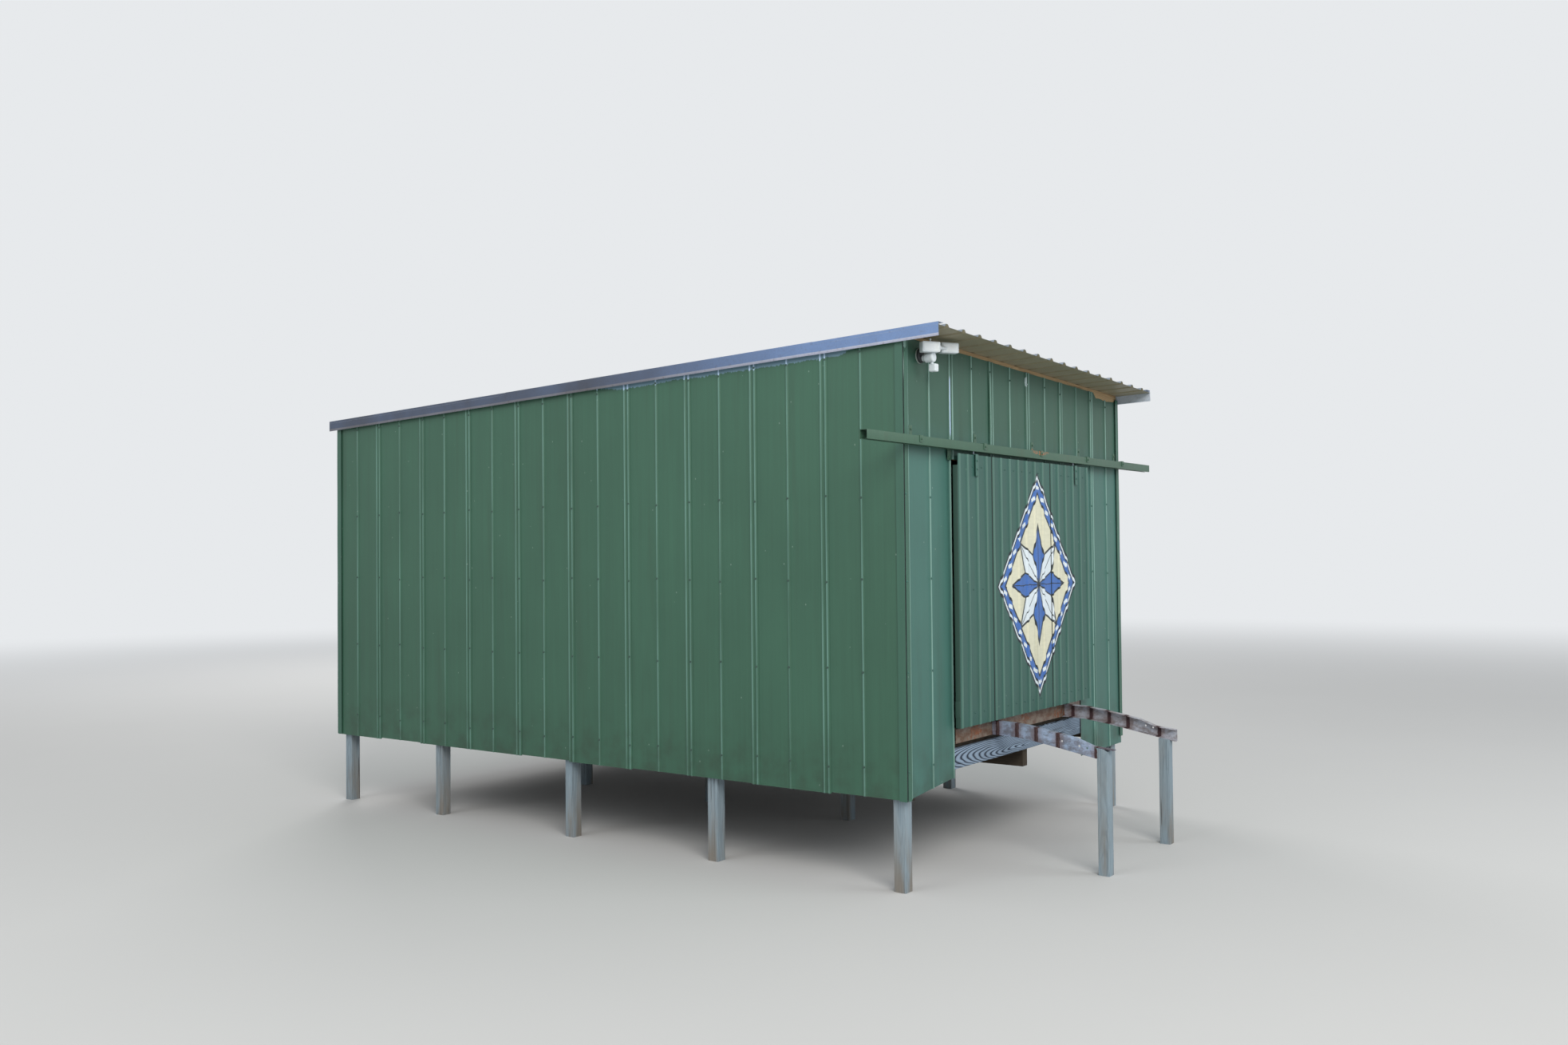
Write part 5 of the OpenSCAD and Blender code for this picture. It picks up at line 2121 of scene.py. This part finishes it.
@dataclass(frozen=True)
class DoorGear:
    """The track with its straps, and the door's frame, hangers, trolleys and edge plate."""

    ease: float = 0.0008
    frame_ease: float = 0.0025
    bolt: tuple[float, float, float, int] = (0.011, 0.0075, 0.0075, 6)
    plate_bolt: Pair = (0.012, 0.018)
    strap_bolts: Pair = (0.025, 0.040)
    hanger_bolts: Pair = (0.045, 0.105)
    wall_face: float = 0.0062

    def build(self, finishes: Finishes) -> None:
        """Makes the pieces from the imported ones, with eased edges, and their bolts.

        Args:
            finishes: the materials.
        """
        steel, dark, strap = finishes.steel_paint, finishes.dark_paint, finishes.strap_paint
        for node, finish, body in (("door_track", steel, FIXED), ("track_brackets", steel, FIXED),
                                   ("door_hangers", strap, MOVING), ("door_edge_bracket", dark, MOVING),
                                   ("door_trolleys", finishes.roof_zinc, MOVING)):
            slot = "galvanised" if node == "door_trolleys" else "green_steel"
            settle(eased_copy(node, node + "_eased", self.ease, finish), body, slot, node)
        settle(eased_copy("door_frame", "door_frame_sawn", self.frame_ease, dark), MOVING, "green_steel",
               "door_frame")
        self.bolts(finishes)

    def bolts(self, finishes: Finishes) -> None:
        """Bolt heads on the straps of the track and on the door's hangers.

        Args:
            finishes: the materials.
        """
        spots = []
        for low, high in board_boxes("track_brackets"):
            if high[1] - low[1] < 0.01:
                aside, drop = self.plate_bolt
                spots += [[low[0] + aside, low[1], high[2] - drop], [low[0] + aside, low[1], low[2] + drop]]
            else:
                middle = (low[0] + high[0]) / 2
                drop, lift = self.strap_bolts
                spots.append([middle, SITE.y - self.wall_face, high[2] - drop])
                spots.append([middle, low[1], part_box("door_track")[0].z + lift])
        out = Side.FRONT.value
        track = Nails("track_bolts", *self.bolt)
        track.drive(np.array(spots), out, finishes.steel_paint, FIXED, "green_steel")
        spots = [[(low[0] + high[0]) / 2, low[1], high[2] - drop]
                 for low, high in board_boxes("door_hangers") for drop in self.hanger_bolts]
        hanger = Nails("hanger_bolts", *self.bolt)
        hanger.drive(np.array(spots), out, finishes.strap_paint, MOVING, "green_steel")


@dataclass(frozen=True)
class DoorSkin:
    """The door's small-ribbed sheets, side by side, with their screws."""

    pitch: float = 0.1413
    edge_rib: float = 0.020
    rib: Crimp = Crimp(0.010, 0.036, 0.017)
    widths: Pair = (0.509, 0.989)
    joint: float = 0.002
    bend: Pair = (0.0035, 0.005)
    thickness: float = 0.0010
    column_pitch: float = 0.035
    rows: int = 36
    screw_rows: Place = (0.045, 0.5, 0.955)
    screw: Place = (0.0065, 0.0042, 0.0040)
    screw_seat: float = 0.0009
    foot_step: float = 0.0015
    wave: float = 0.0004
    rib_share: float = 0.97

    def build(self, finishes: Finishes) -> None:
        """Makes the sheets and their screws.

        A sheet is a surface of two parameters, the place across the door and the height. It stands out by
        its ridges and by a shallow ripple that dies out on their crests. Its foot steps by a few
        millimetres, and its paint darkens towards the seams as painted shade in the joints.

        Args:
            finishes: the materials.
        """
        low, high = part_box("door_sheets")
        left = low.x - self.joint / 2
        full = high.x - low.x + self.joint
        edges = np.cumsum([0.0, *self.widths, full - sum(self.widths)])
        mesh = Mesh()
        spots = []
        for number in range(3):
            start, end = edges[number], edges[number + 1]
            count = math.floor((end - start - self.edge_rib) / self.pitch)
            centres = start + np.concatenate([[self.edge_rib], self.pitch * np.arange(1, count + 1)])
            a, b = start + self.joint / 2, end - self.joint / 2
            near = [*[a + bend for bend in self.bend], *[b - bend for bend in self.bend]]
            along = self.rib.columns(centres, a, b, self.column_pitch, tuple(near))
            rise = self.rib.rise(along, centres)
            crest = rise / self.rib.height
            off = np.minimum(along - a if number else 1.0, b - along if number < 2 else 1.0)
            seam = np.clip((self.bend[1] - off) / (self.bend[1] - self.bend[0]), 0, 1)
            foot = low.z + self.foot_step * (1 + math.sin(2.0 * number))
            height = foot + np.linspace(0, 1, self.rows)[:, None] * (high.z - foot)
            wave = self.wave * (1 + ripple(along * 1.3, height, 7.0 + number))
            out = high.y - (rise * self.rib_share + wave * (1 - crest))
            # Negative crest values at the seams make the paint darken there as painted shade.
            mesh.add_sheet(joined(left + along, out - self.thickness, height),
                           joined(left + along, out, height), crest=crest * (1 - seam) - seam)
            for level in self.screw_rows:
                for place in centres[1:-1] + self.pitch / 2:
                    spots.append([left + place, high.y - self.thickness - self.screw_seat,
                                  foot + level * (high.z - foot)])
        piece = mesh.piece("door_ribbed_sheets", [finishes.door_paint, finishes.backer])
        settle(piece, MOVING, "green_sheet", "door_sheets")
        head = Nails("door_screws", *self.screw)
        head.drive(np.array(spots), Side.FRONT.value, finishes.door_paint, MOVING, "green_sheet")


# The lamp.


@dataclass(frozen=True)
class RoundedBlock:
    """A moulded box with round edges and slightly crowned faces."""

    centre: Place
    size: Place
    turn: float = 0.0
    power: float = 7.0
    taper: float = 0.0
    rings: int = 23
    sides: int = 32

    def root(self, value: Array) -> Array:
        """The signed power that squares a circle off."""
        return np.sign(value) * np.abs(value) ** (2 / self.power)

    def add_to(self, mesh: Mesh, slot: int = 0) -> None:
        """Adds the block as a superellipsoid.

        With angles a round the long axis and b along it, each coordinate is its half size times the sine or
        cosine raised to two over the power, with its sign kept. The taper narrows it towards +X.

        Args:
            mesh: gathers the shapes.
            slot: number of the block's finish.
        """
        b = np.linspace(-np.pi / 2, np.pi / 2, self.rings + 2)[1:-1, None]
        a = np.linspace(0, 2 * np.pi, self.sides, endpoint=False)
        half = np.array(self.size) / 2
        x = self.root(np.sin(b))
        shrink = 1 - self.taper * (x + 1) / 2
        y = self.root(np.cos(b)) * self.root(np.cos(a)) * shrink
        z = self.root(np.cos(b)) * self.root(np.sin(a)) * shrink
        local = (joined(x, y, z) * half).reshape(-1, 3)
        local = np.concatenate([local, [[-half[0], 0, 0], [half[0], 0, 0]]])
        spin = np.array(Matrix.Rotation(self.turn, 3, "Z"))
        mesh.add(local @ spin.T + np.array(self.centre), closed_tube(self.rings, self.sides), slot)


@dataclass(frozen=True)
class Lamp:
    """The lamp under the eave: a dark round base, a white drum, two heads on a bar, and a motion sensor."""

    head_size: Place = (0.132, 0.058, 0.072)
    head_turn: float = math.radians(-35)
    left_head: Pair = (-0.040, 0.044)
    right_head: Pair = (0.212, 0.066)
    head_out: float = 0.078
    drum_drop: float = 0.018
    drum: tuple[Pair, ...] = ((0.020, 0.0), (0.022, 0.002), (0.022, 0.022), (0.030, 0.0235),
                              (0.0335, 0.026), (0.034, 0.030), (0.034, 0.078), (0.0325, 0.084),
                              (0.028, 0.0875), (0.012, 0.088))
    knob: tuple[Pair, ...] = ((0.005, 0.0), (0.005, 0.014), (0.007, 0.016), (0.007, 0.022), (0.005, 0.024))
    sensor_size: Pair = (0.050, 0.054)
    sensor_lens: Place = (0.034, 0.010, 0.026)

    def base(self, finishes: Finishes) -> Place:
        """Makes the base and returns the middle of its front face.

        Args:
            finishes: the materials.

        Returns:
            The place where the heads' arms start.
        """
        low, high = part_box("lamp_base")
        radius = (high.x - low.x) / 2
        depth = high.y - low.y
        middle = ((low.x + high.x) / 2, high.y, (low.z + high.z) / 2)
        outline = ((radius * 0.93, 0.004), (radius * 0.94, 0.005), (radius * 0.94, depth * 0.55),
                   (radius * 0.92, depth * 0.72), (radius * 0.84, depth * 0.9),
                   (radius * 0.78, depth * 0.97), (radius * 0.5, depth))
        rim = ((radius * 0.96, 0.0), (radius, 0.002), (radius, 0.007), (radius * 0.97, 0.009),
               (radius * 0.9, 0.0095))
        mesh = Mesh()
        Lathe(middle, Side.FRONT.value, outline).add_to(mesh)
        Lathe(middle, Side.FRONT.value, rim).add_to(mesh, 1)
        settle(mesh.piece("lamp_base_moulded", [finishes.black, finishes.pale]), FIXED, "black_plastic",
               "lamp_base")
        return middle[0], low.y, middle[2]

    def heads(self, origin: Place, finishes: Finishes) -> None:
        """Makes the drum, its neck and bar, and the two heads with their lenses.

        Args:
            origin: the middle of the base's front face.
            finishes: the materials.
        """
        x, y, z = origin
        front = y - self.head_out
        mesh = Mesh()
        Lathe((x, y - 0.0003, z - self.drum_drop), Side.FRONT.value, self.drum).add_to(mesh)
        rise = self.right_head[1] - self.left_head[1]
        span = self.right_head[0] - self.left_head[0]
        neck_top = self.left_head[1] - self.left_head[0] * rise / span
        neck = ((0.013, 0.0), (0.013, 0.012), (0.011, 0.016), (0.011, neck_top + self.drum_drop - 0.03))
        Lathe((x, front + 0.006, z - self.drum_drop + 0.028), (0, 0, 1), neck).add_to(mesh)
        long = math.hypot(span, rise)
        bar = ((0.010, 0.0), (0.011, 0.004), (0.011, long * 0.40), (0.016, long * 0.42),
               (0.016, long * 0.56), (0.011, long * 0.58), (0.011, long - 0.004), (0.010, long))
        start = (x + self.left_head[0], front, z + self.left_head[1])
        Lathe(start, (span, 0.0, rise), bar, 24).add_to(mesh)
        out = np.array([math.sin(self.head_turn), -math.cos(self.head_turn), 0.0])
        wide, deep, tall = self.head_size
        for place, height in (self.left_head, self.right_head):
            centre = (x + place, front, z + height)
            RoundedBlock(centre, self.head_size, self.head_turn, 16.0, 0.04).add_to(mesh)
            lens = tuple(np.array(centre) + out * (deep / 2 - 0.0035))
            RoundedBlock(lens, (wide * 0.82, 0.009, tall * 0.74), self.head_turn, 8.0).add_to(mesh, 1)
        knob_foot = (start[0] + 0.004, front, start[2] + tall / 2 - 0.002)
        Lathe(knob_foot, (0, 0, 1), self.knob, 16).add_to(mesh)
        settle(mesh.piece("lamp_heads_moulded", [finishes.white, finishes.lens]), FIXED, "white_plastic",
               "lamp_heads")

    def sensor(self, finishes: Finishes) -> None:
        """Makes the motion sensor: a moulded box with a domed lens on its front, hung on a short neck.

        Args:
            finishes: the materials.
        """
        low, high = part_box("lamp_sensor")
        wide, tall = self.sensor_size
        centre = (high.x - wide / 2, (low.y + high.y) / 2, low.z + tall / 2)
        mesh = Mesh()
        RoundedBlock(centre, (wide, high.y - low.y, tall)).add_to(mesh)
        neck = ((0.010, 0.0), (0.010, high.z - low.z - tall + 0.003))
        Lathe((high.x - wide + 0.005, centre[1], low.z + tall - 0.004), (0, 0, 1), neck).add_to(mesh)
        lens = (centre[0], low.y + 0.005, centre[2] - 0.006)
        RoundedBlock(lens, self.sensor_lens, 0.0, 2.6).add_to(mesh, 1)
        settle(mesh.piece("lamp_sensor_moulded", [finishes.white, finishes.lens]), FIXED, "white_plastic",
               "lamp_sensor")

    def build(self, finishes: Finishes) -> None:
        """Makes the lamp and reports it."""
        self.heads(self.base(finishes), finishes)
        self.sensor(finishes)


# Stage, light and camera.


@dataclass(frozen=True)
class Stage:
    """A plain pale floor under a soft sky, and four large lamps."""

    floor_size: float = 160.0
    floor_tone: float = 0.62
    floor_drift: float = 0.01
    backdrop: Colour = (0.80, 0.82, 0.84, 1.0)
    fade: Pair = (9.0, 34.0)
    sky_light: Colour = (0.93, 0.97, 1.0, 1.0)
    sky_strength: float = 0.50
    lamp_size: float = 9.0
    lamp_target: Place = (0.0, 0.0, 1.8)
    lamps: tuple[tuple[str, Place, float, Place], ...] = (
        ("key_lamp", (-11.5, -13.5, 12.0), 2100.0, (1.0, 0.975, 0.93)),
        ("front_lamp", (4.0, -17.0, 9.0), 690.0, (0.92, 0.97, 1.0)),
        ("side_lamp", (-17.0, 3.0, 9.0), 500.0, (0.95, 0.98, 1.0)),
        ("back_lamp", (10.0, 15.0, 12.0), 1350.0, (1.0, 0.99, 0.97)),
    )

    def floor(self) -> None:
        """Makes the floor, which fades to the backdrop's white far from the object."""
        half = self.floor_size / 2
        mesh = bpy.data.meshes.new("stage_floor")
        mesh.from_pydata([(-half, -half, 0), (half, -half, 0), (half, half, 0), (-half, half, 0)], [],
                         [(0, 1, 2, 3)])
        piece = link_object("stage_floor", mesh)
        g = Graph("stage_pale_floor")
        dark, light = self.floor_tone - self.floor_drift, self.floor_tone + self.floor_drift
        tone = g.between(g.noise(g.at, 0.4, 3.0), dark, light)
        g.set(Base_Color=g.shade((1.0, 0.995, 0.985, 1.0), tone), Roughness=0.9, Specular_IOR_Level=0.1)
        glow = g.node("Emission", Color=self.backdrop)
        mix = g.node("MixShader", Fac=g.step(g.length(g.at), *self.fade))
        g.tree.links.new(g.shader.outputs[0], mix.inputs[1])
        g.tree.links.new(glow.outputs[0], mix.inputs[2])
        g.tree.links.new(mix.outputs[0], g.output.inputs[0])
        mesh.materials.append(g.material)

    def sky(self) -> None:
        """Lights the object softly from all sides, and shows a pale backdrop to camera and reflections."""
        world = bpy.data.worlds.new("stage_sky")
        bpy.context.scene.world = world
        world.use_nodes = True
        tree = world.node_tree
        tree.nodes.clear()
        output = tree.nodes.new("ShaderNodeOutputWorld")
        path = tree.nodes.new("ShaderNodeLightPath")
        either = tree.nodes.new("ShaderNodeMath")
        either.operation = "MAXIMUM"
        mix = tree.nodes.new("ShaderNodeMixShader")
        for socket, ray in enumerate(("Is Camera Ray", "Is Glossy Ray")):
            tree.links.new(path.outputs[ray], either.inputs[socket])
        tree.links.new(either.outputs[0], mix.inputs[0])
        for socket, colour, strength in ((1, self.sky_light, self.sky_strength), (2, self.backdrop, 1.0)):
            glow = tree.nodes.new("ShaderNodeBackground")
            glow.inputs[0].default_value = colour
            glow.inputs[1].default_value = strength
            tree.links.new(glow.outputs[0], mix.inputs[socket])
        tree.links.new(mix.outputs[0], output.inputs[0])

    def lamp(self, name: str, place: Place, power: float, colour: Place) -> None:
        """Hangs one square lamp that looks at the building's middle.

        Args:
            name: the lamp's name.
            place: where it hangs.
            power: its power in watts.
            colour: its light's red, green and blue.
        """
        data = bpy.data.lights.new(name, "AREA")
        data.size, data.energy, data.color = self.lamp_size, power, colour
        lamp = link_object(name, data)
        lamp.location = place
        way = Vector(self.lamp_target) - Vector(place)
        lamp.rotation_euler = way.to_track_quat("-Z", "Y").to_euler()

    def build(self) -> None:
        """Makes the floor, the sky and the lamps."""
        self.floor()
        self.sky()
        for name, place, power, colour in self.lamps:
            self.lamp(name, place, power, colour)


@dataclass(frozen=True)
class Viewpoint:
    """The camera, at the photograph's place and angle."""

    place: Place = (-9.2097, -7.0479, 2.2505)
    yaw: float = math.radians(36.14)
    pitch: float = math.radians(-1.28)
    roll: float = math.radians(-0.57)
    lens: float = 30.0

    def build(self) -> None:
        """Makes the camera.

        It looks along (cos pitch cos yaw, cos pitch sin yaw, -sin pitch). Its right and up directions are
        turned about that line by the roll.
        """
        forward = np.array([math.cos(self.pitch) * math.cos(self.yaw),
                            math.cos(self.pitch) * math.sin(self.yaw),
                            -math.sin(self.pitch)])
        right = np.cross(forward, [0, 0, 1])
        right /= np.linalg.norm(right)
        up = np.cross(right, forward)
        c, s = math.cos(self.roll), math.sin(self.roll)
        right, up = c * right + s * up, -s * right + c * up
        data = bpy.data.cameras.new("photo_camera")
        data.lens, data.sensor_width = self.lens, 36.0
        camera = link_object("photo_camera", data)
        turn = Matrix(np.stack([right, up, -forward], 1).tolist()).to_4x4()
        camera.matrix_world = Matrix.Translation(self.place) @ turn
        bpy.context.scene.camera = camera


def main() -> None:
    """Builds the camera, the pieces and the stage in order."""
    bpy.context.scene.view_settings.view_transform = "Standard"
    Viewpoint().build()
    finishes = Finishes()
    Walls().build(finishes)
    CornerTrims().build(finishes)
    Roof().build(finishes)
    Posts().build(finishes)
    Boards().build(finishes)
    RampRails().build(finishes)
    DoorGear().build(finishes)
    DoorSkin().build(finishes)
    Lamp().build(finishes)
    Stage().build()


if __name__ == "__main__":
    main()
